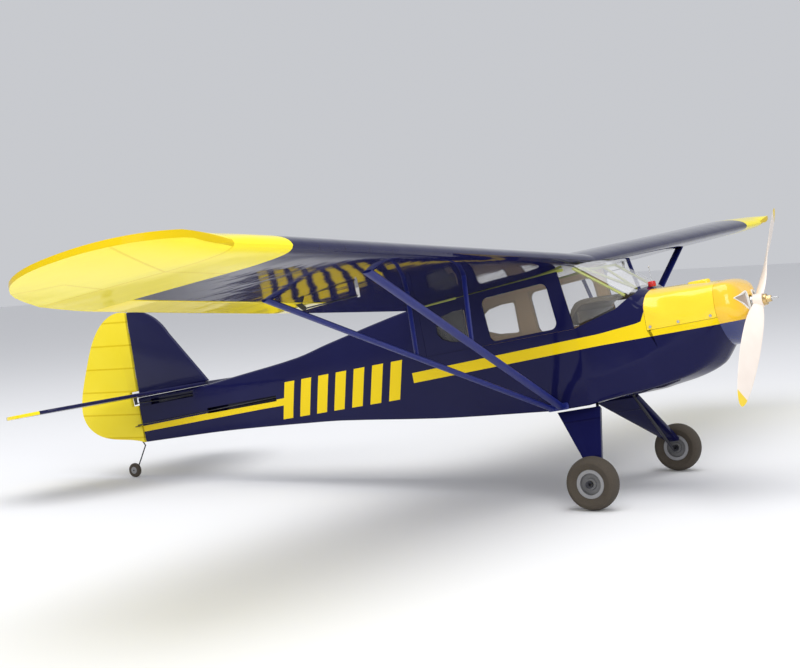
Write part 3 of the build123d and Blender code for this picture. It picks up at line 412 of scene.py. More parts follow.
FILM = fuselage_film()
NAVY_FILM = plain_film("navy_film", NAVY, NAVY_LIGHT)
YELLOW_FILM = plain_film("yellow_film", (0.86, 0.69, 0.015, 1), (0.93, 0.77, 0.05, 1), show=0.06,
                         gloss=1.2)
TIP_FILM = tip_film()
TAIL_FILM = plain_film("navy_tail_film", NAVY, NAVY_LIGHT, pitch=40.0, edge=256.0)
RUDDER_FILM = rudder_film()
COWL_PAINT = cowl_paint()
HATCH_PAINT = paint("hatch_paint", (0.86, 0.60, 0.010, 1), (0.92, 0.68, 0.02, 1), 0.18, coat=0.4)
STRUT_PAINT = paint("strut_paint", STRUT_BLUE, (0.011, 0.020, 0.18, 1), 0.38)
PLYWOOD = light_ply()
OLIVE = paint("olive_frame_paint", (0.34, 0.38, 0.06, 1), (0.44, 0.47, 0.09, 1), 0.4)
WIRE = paint("piano_wire", (0.05, 0.05, 0.06, 1), (0.09, 0.09, 0.10, 1), 0.35, metallic=1.0)
CLEAR = clear_sheet("clear_sheet", (0.80, 0.80, 0.80, 1), 0.06)
WINDSHIELD = clear_sheet("windshield_sheet", (0.86, 0.86, 0.88, 1), 0.30)
COAMING = paint("coaming_vinyl", (0.050, 0.040, 0.022, 1), (0.085, 0.068, 0.040, 1), 0.5,
                grain=0.9, bump=0.4)
WHITE_PLASTIC = paint("white_nylon", (0.74, 0.73, 0.69, 1), (0.82, 0.81, 0.77, 1), 0.4)
LOUVRE = paint("louvre_plastic", (0.42, 0.33, 0.27, 1), (0.55, 0.45, 0.38, 1), 0.5)
RED = paint("red_anodised", (0.50, 0.012, 0.012, 1), (0.62, 0.02, 0.02, 1), 0.25, coat=0.3)
STEEL = paint("bright_steel", (0.55, 0.55, 0.55, 1), (0.70, 0.70, 0.70, 1), 0.25, metallic=1.0)
BRASS = paint("brass", (0.62, 0.44, 0.20, 1), (0.75, 0.56, 0.28, 1), 0.25, metallic=1.0)
ALLOY = paint("turned_alloy", (0.55, 0.55, 0.56, 1), (0.66, 0.66, 0.67, 1), 0.3, metallic=1.0)
HUB_GREY = paint("wheel_hub_grey", (0.10, 0.10, 0.105, 1), (0.15, 0.15, 0.155, 1), 0.45)
HUB_LIGHT = paint("wheel_hub_ring", (0.20, 0.20, 0.21, 1), (0.27, 0.27, 0.28, 1), 0.4)
BLACK = paint("black_nylon", (0.012, 0.012, 0.012, 1), (0.03, 0.03, 0.03, 1), 0.4)
WRAP = paint("battery_wrap", (0.01, 0.03, 0.16, 1), (0.02, 0.05, 0.22, 1), 0.3)
PROPELLER = propeller_paint()
FOAM = tyre_foam()


# ---------------------------------------------------------------- mesh helpers
def link_mesh(name, mesh):
    """A scene object for a mesh."""
    piece = bpy.data.objects.new(name, mesh)
    bpy.context.scene.collection.objects.link(piece)
    return piece


def smooth_by_angle(mesh, degrees):
    """Smooth shading with sharp edges over an angle."""
    mesh.shade_smooth()
    mesh.set_sharp_from_angle(angle=math.radians(degrees))


def build(name, points, faces, materials, degrees=35, slots=None):
    """A piece from level points in millimetres."""
    mesh = bpy.data.meshes.new(name)
    mesh.from_pydata([LEVEL @ Vector(point) for point in points], [], faces)
    for material in materials:
        mesh.materials.append(material)
    if slots:
        for face, index in zip(mesh.polygons, slots):
            face.material_index = index
    work = bmesh.new()
    work.from_mesh(mesh)
    bmesh.ops.remove_doubles(work, verts=work.verts, dist=1e-6)
    bmesh.ops.recalc_face_normals(work, faces=work.faces)
    work.to_mesh(mesh)
    work.free()
    smooth_by_angle(mesh, degrees)
    return link_mesh(name, mesh)


def rings(loops, close_ends=True):
    """Points and faces of a skin over closed loops of equal length."""
    count = len(loops[0])
    points = [point for loop in loops for point in loop]
    faces = []
    for row in range(len(loops) - 1):
        for i in range(count):
            j = (i + 1) % count
            faces.append((row * count + i, row * count + j,
                          (row + 1) * count + j, (row + 1) * count + i))
    if close_ends:
        faces.append(tuple(reversed(range(count))))
        faces.append(tuple((len(loops) - 1) * count + i for i in range(count)))
    return points, faces


def applied(piece):
    """The piece with its modifiers turned into plain mesh."""
    bpy.context.view_layer.update()
    evaluated = piece.evaluated_get(bpy.context.evaluated_depsgraph_get())
    mesh = bpy.data.meshes.new_from_object(evaluated)
    piece.modifiers.clear()
    piece.data = mesh
    return piece


def cut(piece, cutters, operation="DIFFERENCE"):
    """Cuts a piece by closed cutters, then removes them."""
    for cutter in cutters:
        modifier = piece.modifiers.new("cut", "BOOLEAN")
        modifier.operation = operation
        modifier.solver = "EXACT"
        modifier.object = cutter
    applied(piece)
    for cutter in cutters:
        bpy.data.objects.remove(cutter)
    return piece


def prism(outline, low, high, axis="y"):
    """A closed cutter: an outline swept along one level axis."""
    def spot(pair, depth):
        if axis == "y":
            return (pair[0], depth, pair[1])
        if axis == "x":
            return (depth, pair[0], pair[1])
        return (pair[0], pair[1], depth)

    points, faces = rings([[spot(pair, depth) for pair in outline] for depth in (low, high)])
    return build("cutter", points, faces, [])


def block(low, high):
    """A closed box cutter."""
    outline = [(low[0], low[1]), (high[0], low[1]), (high[0], high[1]), (low[0], high[1])]
    return prism(outline, low[2], high[2], axis="z")


def bevelled(piece, width, segments=2, degrees=30):
    """Rounds a piece's sharp edges by a width in millimetres."""
    modifier = piece.modifiers.new("edges", "BEVEL")
    modifier.width = width * MM
    modifier.segments = segments
    modifier.limit_method = "ANGLE"
    modifier.angle_limit = math.radians(degrees)
    applied(piece)
    smooth_by_angle(piece.data, 40)
    return piece


def stand_in(piece, slot, *nodes):
    """The piece rides with, and is shown for, these CAD nodes."""
    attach(piece, BODY_OF[nodes[0]])
    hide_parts(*nodes)
    return piece


def trim(piece, body):
    """An extra piece that rides on a body."""
    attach(piece, body)
    return piece


def copy_of(node, name, materials, degrees=32, chooser=None):
    """A clean, smooth-shaded copy of a CAD node."""
    source = frame["nodes"][node].data
    work = bmesh.new()
    points = [work.verts.new(vertex.co) for vertex in source.vertices]
    for face in source.polygons:
        work.faces.new([points[i] for i in face.vertices])
    bmesh.ops.remove_doubles(work, verts=work.verts, dist=2e-6)
    bmesh.ops.dissolve_limit(work, angle_limit=math.radians(0.3), verts=work.verts,
                             edges=work.edges)
    mesh = bpy.data.meshes.new(name)
    work.to_mesh(mesh)
    work.free()
    for material in materials:
        mesh.materials.append(material)
    if chooser:
        inverse = LEVEL.inverted()
        turn = TURN.transposed()
        for face in mesh.polygons:
            face.material_index = chooser(inverse @ face.center, turn @ face.normal)
    smooth_by_angle(mesh, degrees)
    return link_mesh(name, mesh)


def dress(node, slot, materials, degrees=32, chooser=None, bevel=0.0, segments=2):
    """A clean copy of a CAD node, with its finish and, when a bevel is given, rounded edges, in the node's place.
    """
    piece = copy_of(node, node + "_finished", materials, degrees, chooser)
    if bevel:
        bevelled(piece, bevel, segments)
    return stand_in(piece, slot, node)


def smooth_run(t, start, end, start_slope, end_slope):
    """A value on the curve that leaves and arrives with the given slopes."""
    return ((2 * t ** 3 - 3 * t ** 2 + 1) * start + (t ** 3 - 2 * t ** 2 + t) * start_slope
            + (3 * t ** 2 - 2 * t ** 3) * end + (t ** 3 - t ** 2) * end_slope)


# ---------------------------------------------------------------- fuselage
def slab(half_width, top, bottom, corner):
    """Half outline of a slab-sided frame."""
    return [(0, top), (half_width * 0.6, top), (half_width, top - 1), (half_width + 0.4, 0),
            (half_width, bottom * 0.6), (half_width - 1, bottom + 1), (0, bottom)], corner


NOSE_FRAME = [(0, 34), (30, 32.5), (49, 28.3), (56.6, 2), (50, -17), (30, -37.5), (0, -52)]
FRAMES = [
    (-39, (NOSE_FRAME, 14)),
    (-57, ([(0, 35.5), (28, 34), (51, 28), (58, 0), (57, -26), (36, -57), (0, -71.5)], 12)),
    (-87, ([(0, 38), (27, 36.5), (54, 29), (60, 0), (60, -38), (44, -73), (0, -81)], 10)),
    (-127, ([(0, 40), (26, 39.3), (49, 32.4), (63, 20), (65, -45), (52, -81), (0, -87)], 8)),
    (-141, ([(0, 46), (40, 43), (64, 36), (68, 22), (69, -50), (58, -83), (0, -89)], 7)),
    (-200, ([(0, 63), (40, 62), (77, 60), (77, 20), (78, -58), (72, -88), (0, -91)], 4)),
    (-217, slab(79, 80, -91.5, 3)),
    (-263, slab(79, 80, -92, 2.5)),
    (-360, slab(79, 80, -84, 2.5)),
    (-448, slab(65, 77, -77, 2.5)),
    (-605, slab(47, 54, -59.5, 2.5)),
    (-669, slab(38, 43, -55, 2.5)),
    (-792, slab(21.5, 34, -48, 2.2)),
    (-861, slab(16, 29.3, -45, 2)),
    (-915, slab(12.1, 29.3, -43.6, 2)),
    (-1000, slab(6, 29.3, -41.5, 1.5)),
]
CORNER_STEPS = 5
CABIN_FRONT_X = -217
CABIN_FLARE_X = -360


def rounded(outline, radius):
    """A closed outline with every corner turned into a short curve."""
    result = []
    count = len(outline)
    for i in range(count):
        corner = Vector(outline[i])
        before = Vector(outline[i - 1]) - corner
        after = Vector(outline[(i + 1) % count]) - corner
        start = corner + before * min(radius / before.length, 0.46)
        end = corner + after * min(radius / after.length, 0.46)
        for step in range(CORNER_STEPS):
            t = step / (CORNER_STEPS - 1)
            result.append(start * (1 - t) ** 2 + corner * (2 * t * (1 - t)) + end * t ** 2)
    return result


def frame_loop(x, half, radius):
    """One full frame loop at a station."""
    outline = [Vector(pair) for pair in half]
    outline += [Vector((-y, z)) for y, z in reversed(half[1:-1])]
    return [(x, point.x, point.y) for point in rounded(outline, radius)]


def fuselage_loops():
    """Frames with extra ones between them on a smooth run."""
    loops = []
    last = len(FRAMES) - 1
    for i in range(last):
        (x1, (half1, r1)), (x2, (half2, r2)) = FRAMES[i], FRAMES[i + 1]
        x0, (half0, _) = FRAMES[max(i - 1, 0)]
        x3, (half3, _) = FRAMES[min(i + 2, last)]
        steps = 1 if CABIN_FLARE_X < x1 <= CABIN_FRONT_X else 4
        for step in range(steps):
            t = step / steps
            half = []
            for p0, p1, p2, p3 in zip(half0, half1, half2, half3):
                pair = []
                for k in range(2):
                    span = x2 - x1
                    slope1 = (p2[k] - p0[k]) / (x2 - x0) * span if x2 != x0 else 0
                    slope2 = (p3[k] - p1[k]) / (x3 - x1) * span if x3 != x1 else 0
                    limit = 1.6 * (p2[k] - p1[k])
                    pair.append(smooth_run(t, p1[k], p2[k], held(slope1, limit),
                                           held(slope2, limit)))
                half.append(tuple(pair))
            loops.append(frame_loop(x1 + (x2 - x1) * t, half, r1 + (r2 - r1) * t))
    x, (half, radius) = FRAMES[last]
    loops.append(frame_loop(x, half, radius))
    return loops


def held(slope, limit):
    """A slope kept between none and a limit of the same sign, so a run can't overshoot."""
    if limit >= 0:
        return min(max(slope, 0), limit)
    return max(min(slope, 0), limit)


def fuselage_form(name, materials):
    """The fuselage's whole outer form."""
    points, faces = rings(fuselage_loops())
    return build(name, points, faces, materials)


WALL = 2.4


def fuselage_core():
    """The space inside the fuselage wall, with ply round the cabin and dark navy film aft of it as painted shade
    seen through the rod slots.
    """
    loops = []
    for loop in fuselage_loops()[1:-1]:
        middle = Vector((sum(p[1] for p in loop), sum(p[2] for p in loop))) / len(loop)
        reach_y = max(p[1] for p in loop)
        reach_z = max(abs(p[2] - middle.y) for p in loop)
        share_y = (reach_y - WALL) / reach_y
        share_z = (reach_z - WALL) / reach_z
        loops.append([(x, y * share_y, middle.y + (z - middle.y) * share_z)
                      for x, y, z in loop])
    points, faces = rings(loops)
    core = cutter_of(build("core", points, faces, []))
    core.data.materials.append(NAVY_FILM)
    # Inner faces aft of the cabin take dark navy film in place of ply: painted shade, so the rod slots look dark.
    for face in core.data.polygons:
        if face.center.x < (LEVEL @ Vector((CABIN_REAR_X, 0, 0))).x:
            face.material_index = 2
    return core


def cutter_of(piece):
    """A cutter whose cut faces take the second material."""
    piece.data.materials.append(FILM)
    piece.data.materials.append(PLYWOOD)
    for face in piece.data.polygons:
        face.material_index = 1
    return piece


SILL_Z = 8.0
CABIN_REAR_X = -441.0
CABIN_OPENING = [(-138, 130), (-138, 36.5), (-160.6, 22.8), (-193, 14.4), (-216, SILL_Z),
                 (CABIN_REAR_X, SILL_Z), (CABIN_REAR_X, 130)]
HATCH_RECESS = ((-127, -90, -11), (0, 90, 60))
HATCH_BLOCK = ((-126.6, -90, -10.6), (-39.4, 90, 60))
ELEVATOR_ROD_SLOT = ((-1003, -30, 15.5), (-885, -5.5, 24.5))
RUDDER_ROD_SLOT = ((-862, -40, -14.5), (-722, -12, -6))


def wing_seat():
    """Cutter of the wing's centre, where it is let into the fuselage."""
    loops = [wing_loop(y) for y in (-90, 0, 90)]
    points, faces = rings(loops)
    return cutter_of(build("cutter", points, faces, []))


# ---------------------------------------------------------------- wing section
UPPER = ((0, 3.5), (0.6, 4.8), (2.5, 6.5), (6, 8.2), (12, 10.0), (22, 11.4), (32, 11.7),
         (45, 11.0), (60, 9.15), (75, 6.3), (88, 3.3), (100, 0.5))
LOWER = ((0, 3.5), (0.6, 2.4), (2.5, 1.4), (6, 0.8), (12, 0.35), (22, 0.0), (60, 0.0),
         (100, 0.0))
SECTION_STEPS = 26


def section_height(table, share):
    """Smooth height at a share of the chord, both in percent."""
    for i in range(len(table) - 1):
        if share <= table[i + 1][0]:
            break
    (x1, y1), (x2, y2) = table[i], table[i + 1]
    x0, y0 = table[max(i - 1, 0)]
    x3, y3 = table[min(i + 2, len(table) - 1)]
    t = (share - x1) / (x2 - x1)
    slope1 = (y2 - y0) / (x2 - x0) * (x2 - x1)
    slope2 = (y3 - y1) / (x3 - x1) * (x2 - x1)
    return smooth_run(t, y1, y2, slope1, slope2)


WING_BOTTOM_Z = 73.8
WING_ROOT_Y = 79.0
INCIDENCE = 0.05
DIHEDRAL = 0.054
WASHOUT_START = 400.0
WASHOUT_END = 760.0
WASHOUT_RATE = 0.018
TIP_LE_START = 810.0
TIP_TE_START = 660.0
TIP_END_X = -295.0
LE_BULGE = 2.4


def leading_x(y):
    """Leading edge, curving back at the tip."""
    reach = min(max(0.0, (abs(y) - TIP_LE_START) / (SEMI_SPAN - TIP_LE_START)), 1.0)
    return WING_LE + (TIP_END_X - WING_LE) * (1 - (1 - reach ** LE_BULGE) ** (1 / LE_BULGE))


def trailing_x(y):
    """Trailing edge, curving forward at the tip."""
    reach = min(max(0.0, (abs(y) - TIP_TE_START) / (SEMI_SPAN - TIP_TE_START)), 1.0)
    return TIP_END_X - (TIP_END_X - WING_LE + WING_CHORD) * math.sqrt(1 - reach ** 2)


def tip_reach(x):
    """How far out the tip's outline stands at a place fore and aft."""
    if x > TIP_END_X:
        share = (x - WING_LE) / (TIP_END_X - WING_LE)
        bulge = (1 - (1 - share) ** LE_BULGE) ** (1 / LE_BULGE)
        return TIP_LE_START + (SEMI_SPAN - TIP_LE_START) * bulge
    share = (TIP_END_X - x) / (TIP_END_X - WING_LE + WING_CHORD)
    return TIP_TE_START + (SEMI_SPAN - TIP_TE_START) * math.sqrt(1 - share ** 2)


def underside_z(x, y):
    """Height of the wing's flat underside line."""
    y = abs(y)
    base = WING_BOTTOM_Z + INCIDENCE * (x + 450.0) + DIHEDRAL * (y - WING_ROOT_Y)
    twist = WASHOUT_RATE * max(0.0, min(y, WASHOUT_END) - WASHOUT_START)
    return base + twist * (WING_LE - x) / WING_CHORD


def wing_point(table, share, y):
    """A point on the wing's surface."""
    chord = leading_x(y) - trailing_x(y)
    x = leading_x(y) - chord * share / 100
    return (x, y, underside_z(x, y) + section_height(table, share) * chord / 100)


def chord_shares(first=0.0, last=100.0):
    """Places along the chord, closer together at the nose."""
    shares = []
    for i in range(SECTION_STEPS + 1):
        t = i / SECTION_STEPS
        eased = 1 - math.cos(t * math.pi / 2) if first == 0.0 else t
        shares.append(first + (last - first) * eased)
    return shares


def wing_loop(y, first=0.0, last=100.0):
    """Closed section loop between two shares of the chord."""
    shares = chord_shares(first, last)
    upper = [wing_point(UPPER, share, y) for share in reversed(shares)]
    lower = [wing_point(LOWER, share, y) for share in (shares[1:] if first == 0.0 else shares)]
    return upper + lower


def hinge_share(x):
    """Share of the chord at a place fore and aft on the straight part of the wing."""
    return (WING_LE - x) / WING_CHORD * 100


def span_piece(name, ys, side, materials, first=0.0, last=100.0):
    """A closed length of wing."""
    points, faces = rings([wing_loop(side * y, first, last) for y in ys])
    return build(name, points, faces, materials, degrees=40)


def even(low, high, count):
    """Evenly spaced values, both ends included."""
    return [low + (high - low) * i / (count - 1) for i in range(count)]


def joined(name, pieces):
    """Several pieces as one mesh."""
    work = bmesh.new()
    for piece in pieces:
        work.from_mesh(piece.data)
    mesh = bpy.data.meshes.new(name)
    work.to_mesh(mesh)
    work.free()
    for material in pieces[0].data.materials:
        mesh.materials.append(material)
    smooth_by_angle(mesh, 40)
    for piece in pieces:
        bpy.data.objects.remove(piece)
    return link_mesh(name, mesh)


def horn_z(y):
    """Aileron hinge height."""
    half = section_height(UPPER, hinge_share(HINGE_X)) * WING_CHORD / 200
    return underside_z(HINGE_X, y) + half


def eased(t):
    """0 to 1 with flat ends."""
    t = min(max(t, 0.0), 1.0)
    return t * t * (3 - 2 * t)


def make_root_rail(side, hand):
    """The painted wing-saddle rail between the cabin wall and the wing."""
    top = [(x, underside_z(x, 76) + 1.0) for x in (-218, -440)]
    foot = [(-440, 73.4), (-226, 82.4), (-218, 82.4)]
    low, high = sorted((side * 74.2, side * 76.6))
    rail = prism(top + foot, low, high)
    rail.name = "wing_saddle_rail_" + hand
    rail.data.materials.append(OLIVE)
    trim(rail, "airframe")


BOW_BLEND = 34.0
TIP_STEPS = 9


def bow_rows():
    """For each share of the last rib's chord: the bow's place, and rib and bow heights."""
    rib_chord = WING_LE - trailing_x(TIP_RIB_Y)
    nose_z = wing_point(LOWER, 0, TIP_RIB_Y)[2]
    tail_z = wing_point(LOWER, 100, TIP_RIB_Y)[2]
    rows = []
    for share in chord_shares():
        x = WING_LE - rib_chord * share / 100
        y = tip_reach(x)
        front = (x - WING_LE + rib_chord) / rib_chord
        low = underside_z(x, y) + 1.5 + 10.0 * front
        high = low + 3.0 + 4.0 * front
        start = eased((y - TIP_LE_START) / BOW_BLEND) if x > TIP_END_X else 1.0
        finish = eased((1 - share / 100) / 0.04)
        low = nose_z + (low - nose_z) * start
        high = nose_z + (high - nose_z) * start
        low = tail_z + (low - tail_z) * finish
        high = tail_z + 1.2 + (high - tail_z - 1.2) * finish
        rows.append((x, y, wing_point(LOWER, share, TIP_RIB_Y)[2], low,
                     wing_point(UPPER, share, TIP_RIB_Y)[2], high))
    return rows


def make_tip(side, hand):
    """Yellow tip: two rib bays, then film drawn straight from the last rib to a bent bow."""
    loops = [wing_loop(side * y) for y in even(AILERON_OUT, TIP_RIB_Y, 4)]
    rows = bow_rows()
    for step in range(1, TIP_STEPS + 1):
        t = step / TIP_STEPS
        upper = []
        lower = []
        for x, y, rib_low, bow_low, rib_high, bow_high in rows:
            out = TIP_RIB_Y + (y - TIP_RIB_Y) * t
            crown = t * (1 - t) * 0.35 * (rib_high - rib_low)
            upper.append((x, side * out, rib_high + (bow_high - rib_high) * t + crown))
            lower.append((x, side * out, rib_low + (bow_low - rib_low) * t))
        loops.append(list(reversed(upper)) + lower[1:])
    points, faces = rings(loops, close_ends=False)
    count = len(loops[0])
    last = (len(loops) - 1) * count
    faces.append(tuple(reversed(range(count))))
    nose = len(rows) - 1
    for i in range(nose):
        faces.append((last + nose - i, last + nose + i, last + nose + i + 1,
                      last + nose - i - 1))
    tip = build("wing_tip_" + hand, points, faces, [TIP_FILM], degrees=24)
    trim(tip, "airframe")


def make_wing(side, hand):
    """One wing panel with its yellow tip, aileron and aileron horn."""
    front = hinge_share(HINGE_X + 1.3)
    back = hinge_share(HINGE_X - 2.5)
    panels = [
        span_piece("inner", [0.2] + even(60, AILERON_IN, 5), side, [NAVY_FILM]),
        span_piece("middle", even(AILERON_IN, AILERON_OUT, 8), side, [NAVY_FILM], last=front),
    ]
    panel = joined("wing_panel_" + hand, panels)
    stand_in(panel, "navy_film", "wing_skin_" + hand, "wing_frame_" + hand)
    make_tip(side, hand)
    make_root_rail(side, hand)
    aileron = span_piece("aileron_finished_" + hand, even(AILERON_IN + 1.2, AILERON_OUT - 1.2, 8),
                         side, [YELLOW_FILM], first=back)
    bevelled(aileron, 0.5, 2, 50)
    stand_in(aileron, "yellow_film", "aileron_" + hand)
    link_y = side * AILERON_LINK_Y
    foot = horn_z(link_y)
    outline = [(HINGE_X - 15, foot - 3), (HINGE_X - 5, foot - 4.0), (HINGE_X + 2, foot - 12),
               (HINGE_X + 2, foot - 16), (HINGE_X - 2, foot - 16)]
    horn = prism(outline, link_y - 0.6, link_y + 0.6)
    horn.name = "aileron_horn_" + hand
    horn.data.materials.append(BLACK)
    trim(horn, "aileron_" + hand)


# ---------------------------------------------------------------- nose bowl
COWL_CENTRE_Z = -9.0
COWL_SEAM_X = -39.0
COWL_FRONT_X = -8.6


def cowl_scale(x):
    """Share of the seam's outline that the bowl keeps at a station."""
    reach = (x - COWL_SEAM_X) / (COWL_FRONT_X - COWL_SEAM_X)
    return (1 - min(max(reach, 0), 1) ** 3.2) ** (1 / 2.6)


def cowl_surface_x(y, z):
    """Station of the bowl's surface seen from the front at a place."""
    seam = frame_loop(0, NOSE_FRAME, 14)
    angle = math.atan2(z - COWL_CENTRE_Z, y)
    best = min(seam, key=lambda p: abs(math.remainder(math.atan2(p[2] - COWL_CENTRE_Z, p[1])
                                                      - angle, 2 * math.pi)))
    radius = math.hypot(best[1], best[2] - COWL_CENTRE_Z)
    share = min(math.hypot(y, z - COWL_CENTRE_Z) / radius, 0.999)
    reach = (1 - share ** 2.6) ** (1 / 3.2)
    return COWL_SEAM_X + reach * (COWL_FRONT_X - COWL_SEAM_X)


INLET_OUTER = [(11, 15.5), (46, 9), (11, -11.5)]


def make_cowl():
    """Nose bowl: smooth shell with its shaft slot and two three-cornered inlets."""
    seam = frame_loop(0, NOSE_FRAME, 14)
    loops = []
    for i in range(30):
        x = COWL_SEAM_X + (COWL_FRONT_X - COWL_SEAM_X) * math.sin(math.pi / 2 * i / 30)
        scale = cowl_scale(x)
        loops.append([(x, p[1] * scale, COWL_CENTRE_Z + (p[2] - COWL_CENTRE_Z) * scale)
                      for p in seam])
    points, faces = rings(loops, close_ends=False)
    faces.append(tuple((len(loops) - 1) * len(seam) + i for i in range(len(seam))))
    cowl = build("nose_bowl", points, faces, [COWL_PAINT, BLACK])
    wall = cowl.modifiers.new("wall", "SOLIDIFY")
    wall.thickness = 1.6 * MM
    wall.offset = -1
    wall.material_offset = 1
    applied(cowl)
    hole = [(9.5 * math.cos(a), 9.5 * math.sin(a)) for a in even(0, 2 * math.pi, 33)[:-1]]
    cutters = [prism(hole, -36, 2, axis="x"),
               block((-36, -0.5, -24), (2, 0.5, 0))]
    for side in (1, -1):
        outline = [Vector((side * y, z)) for y, z in INLET_OUTER]
        cutters.append(prism(rounded(outline, 4), -36, 2, axis="x"))
    cut(cowl, cutters)
    smooth_by_angle(cowl.data, 40)
    stand_in(cowl, "cowl_paint", "nose_cowl")


def make_inlets():
    """Raised white rims round the inlets, and their fine upright louvres."""
    rims = []
    louvres = []
    for side in (1, -1):
        outline = rounded([Vector((side * y, z)) for y, z in INLET_OUTER], 4)
        path = []
        for i, corner in enumerate(outline):
            after = outline[(i + 1) % len(outline)]
            for step in range(4):
                path.append(corner + (after - corner) * (step / 4))
        centre = sum(path, Vector((0, 0))) / len(path)
        loops = []
        for spot in path:
            outward = (spot - centre).normalized()
            x = cowl_surface_x(spot.x, spot.y)
            loop = []
            for reach, lift in ((1.0, -1.5), (1.0, 0.4), (0.5, 0.9), (-1.2, 0.9), (-1.9, 0.4),
                                (-1.9, -3.5)):
                place = spot + outward * reach
                loop.append((x + lift, place.x, place.y))
            loops.append(loop)
        points, faces = rings(loops + [loops[0]], close_ends=False)
        rims.append(build("rim", points, faces, [WHITE_PLASTIC], degrees=60))
        count = 11
        for k in range(count):
            y = 13.4 + k * 2.65
            top = 15.0 - 0.186 * (y - 11) - 1.2
            low = -11.5 + 0.586 * (y - 11) + 1.0
            if top - low < 1.5:
                continue
            loops = []
            for z in even(low, top, 4):
                x = cowl_surface_x(side * y, z) - 1.4
                half = 0.55
                loops.append([(x, side * (y - half), z), (x, side * (y + half), z),
                              (x - 5, side * (y + half + 1.2), z),
                              (x - 5, side * (y - half + 1.2), z)])
            points, faces = rings(loops)
            louvres.append(build("louvre", points, faces, [LOUVRE]))
    rim = joined("inlet_rims", rims)
    slats = joined("inlet_louvres", louvres)
    stand_in(rim, "grille_plastic", "inlet_grilles")
    trim(slats, "airframe")


# ---------------------------------------------------------------- propeller and wheels
def spun(name, outline, centre, materials, turns=64, slots=None, degrees=35):
    """A turned piece about a spanwise axis: outline is (radius, offset along the axis)."""
    loops = []
    for i in range(turns):
        angle = 2 * math.pi * i / turns
        loops.append([(centre[0] + radius * math.cos(angle), centre[1] + offset,
                       centre[2] + radius * math.sin(angle)) for radius, offset in outline])
    points, faces = rings(loops + [loops[0]], close_ends=False)
    if slots:
        slots = slots * turns
    return build(name, points, faces, materials, degrees, slots)


BLADE_STATIONS = ((0.03, 11, 8.0, 66), (0.08, 16, 7.2, 60), (0.16, 21, 5.2, 50),
                  (0.32, 28, 3.8, 33), (0.52, 32, 3.0, 24), (0.72, 30, 2.4, 18),
                  (0.88, 23, 1.9, 15), (0.97, 13, 1.4, 13), (1.0, 5, 0.9, 12))
PROPELLER_RADIUS = 188.0
BLADE_ANGLE = 52.65


def eased_station(share):
    """Chord, thickness and pitch at a share of the radius, on a smooth run."""
    table = BLADE_STATIONS
    for i in range(len(table) - 1):
        if share <= table[i + 1][0]:
            break
    a, b = table[i], table[i + 1]
    before, after = table[max(i - 1, 0)], table[min(i + 2, len(table) - 1)]
    t = (share - a[0]) / (b[0] - a[0])
    values = []
    for k in (1, 2, 3):
        slope1 = (b[k] - before[k]) / (b[0] - before[0]) * (b[0] - a[0])
        slope2 = (after[k] - a[k]) / (after[0] - a[0]) * (b[0] - a[0])
        values.append(smooth_run(t, a[k], b[k], slope1, slope2))
    return values


def make_propeller():
    """Two twisted blades on a boss."""
    blades = []
    for half_turn in (0, math.pi):
        turn = Matrix.Rotation(half_turn - math.radians(BLADE_ANGLE), 4, "X")
        loops = []
        for i in range(31):
            share = 0.03 + 0.967 * math.sin(math.pi / 2 * i / 30)
            chord, thickness, pitch = eased_station(share)
            pitch = math.radians(pitch)
            loop = []
            for j in range(28):
                angle = 2 * math.pi * j / 28
                along = chord / 2 * math.cos(angle)
                through = thickness / 2 * math.sin(angle)
                if through < 0:
                    through *= 0.45
                across = along * math.cos(pitch) - through * math.sin(pitch)
                ahead = along * math.sin(pitch) + through * math.cos(pitch)
                loop.append(tuple(turn @ Vector((-ahead, across, share * PROPELLER_RADIUS))))
            loops.append(loop)
        points, faces = rings(loops)
        blades.append(build("blade", points, faces, [PROPELLER], degrees=60))
    boss = [[(x, radius * math.cos(a), radius * math.sin(a))
             for a in even(0, 2 * math.pi, 41)[:-1]]
            for x, radius in ((-6, 2.6), (-6, 8.2), (-5.4, 8.8), (5.4, 8.8), (6, 8.2), (6, 2.6))]
    points, faces = rings(boss + [boss[0]], close_ends=False)
    blades.append(build("boss", points, faces, [PROPELLER]))
    stand_in(joined("propeller_finished", blades), "prop_nylon", "propeller")


WHEEL_X = -197.0
WHEEL_Y = 155.0
WHEEL_Z = -180.0
TAIL_WHEEL_CENTRE = (-1038.0, 0.0, -82.0)


def make_wheels():
    """Foam tyres on grey hubs with a light ring and a dark centre."""
    half = 13.0
    tread = [(18.05, -half * 0.72), (23, -half * 0.93), (26, -half)]
    tread += [(33 - 6.4 * (1 - math.cos(a)) ** 0.9, half * math.sin(a))
              for a in even(-1.15, 1.15, 13)]
    tread += [(26, half), (23, half * 0.93), (18.05, half * 0.72)]
    hub = [(2.05, -9), (6.5, -9), (7, -8.4), (7.6, -5.4), (12.6, -5.0), (13.2, -8.6), (14, -9.2),
           (17.4, -9.2), (18, -8.6), (18, 8.6), (17.4, 9.2), (14, 9.2), (13.2, 8.6),
           (12.6, 5.0), (7.6, 5.4), (7, 8.4), (6.5, 9), (2.05, 9)]
    ring_faces = [0, 0, 0, 0, 0, 1, 1, 1, 1, 1, 1, 1, 0, 0, 0, 0, 0, 0]
    for side, hand in ((1, "left"), (-1, "right")):
        centre = (WHEEL_X, side * WHEEL_Y, WHEEL_Z)
        stand_in(spun("tyre_finished_" + hand, tread, centre, [FOAM]), "tyre_foam",
                 "tyre_" + hand)
        stand_in(spun("hub_finished_" + hand, hub, centre, [HUB_GREY, HUB_LIGHT],
                      slots=ring_faces), "wheel_plastic", "wheel_hub_" + hand)
    small = [(5.55, -3), (9.2, -3)]
    small += [(11.3 - 1.8 * (1 - math.cos(a)), 3 * math.sin(a)) for a in even(-1.2, 1.2, 9)]
    small += [(9.2, 3), (5.55, 3)]
    stand_in(spun("tail_tyre_finished", small, TAIL_WHEEL_CENTRE, [FOAM], 48), "tyre_foam",
             "tail_tyre")


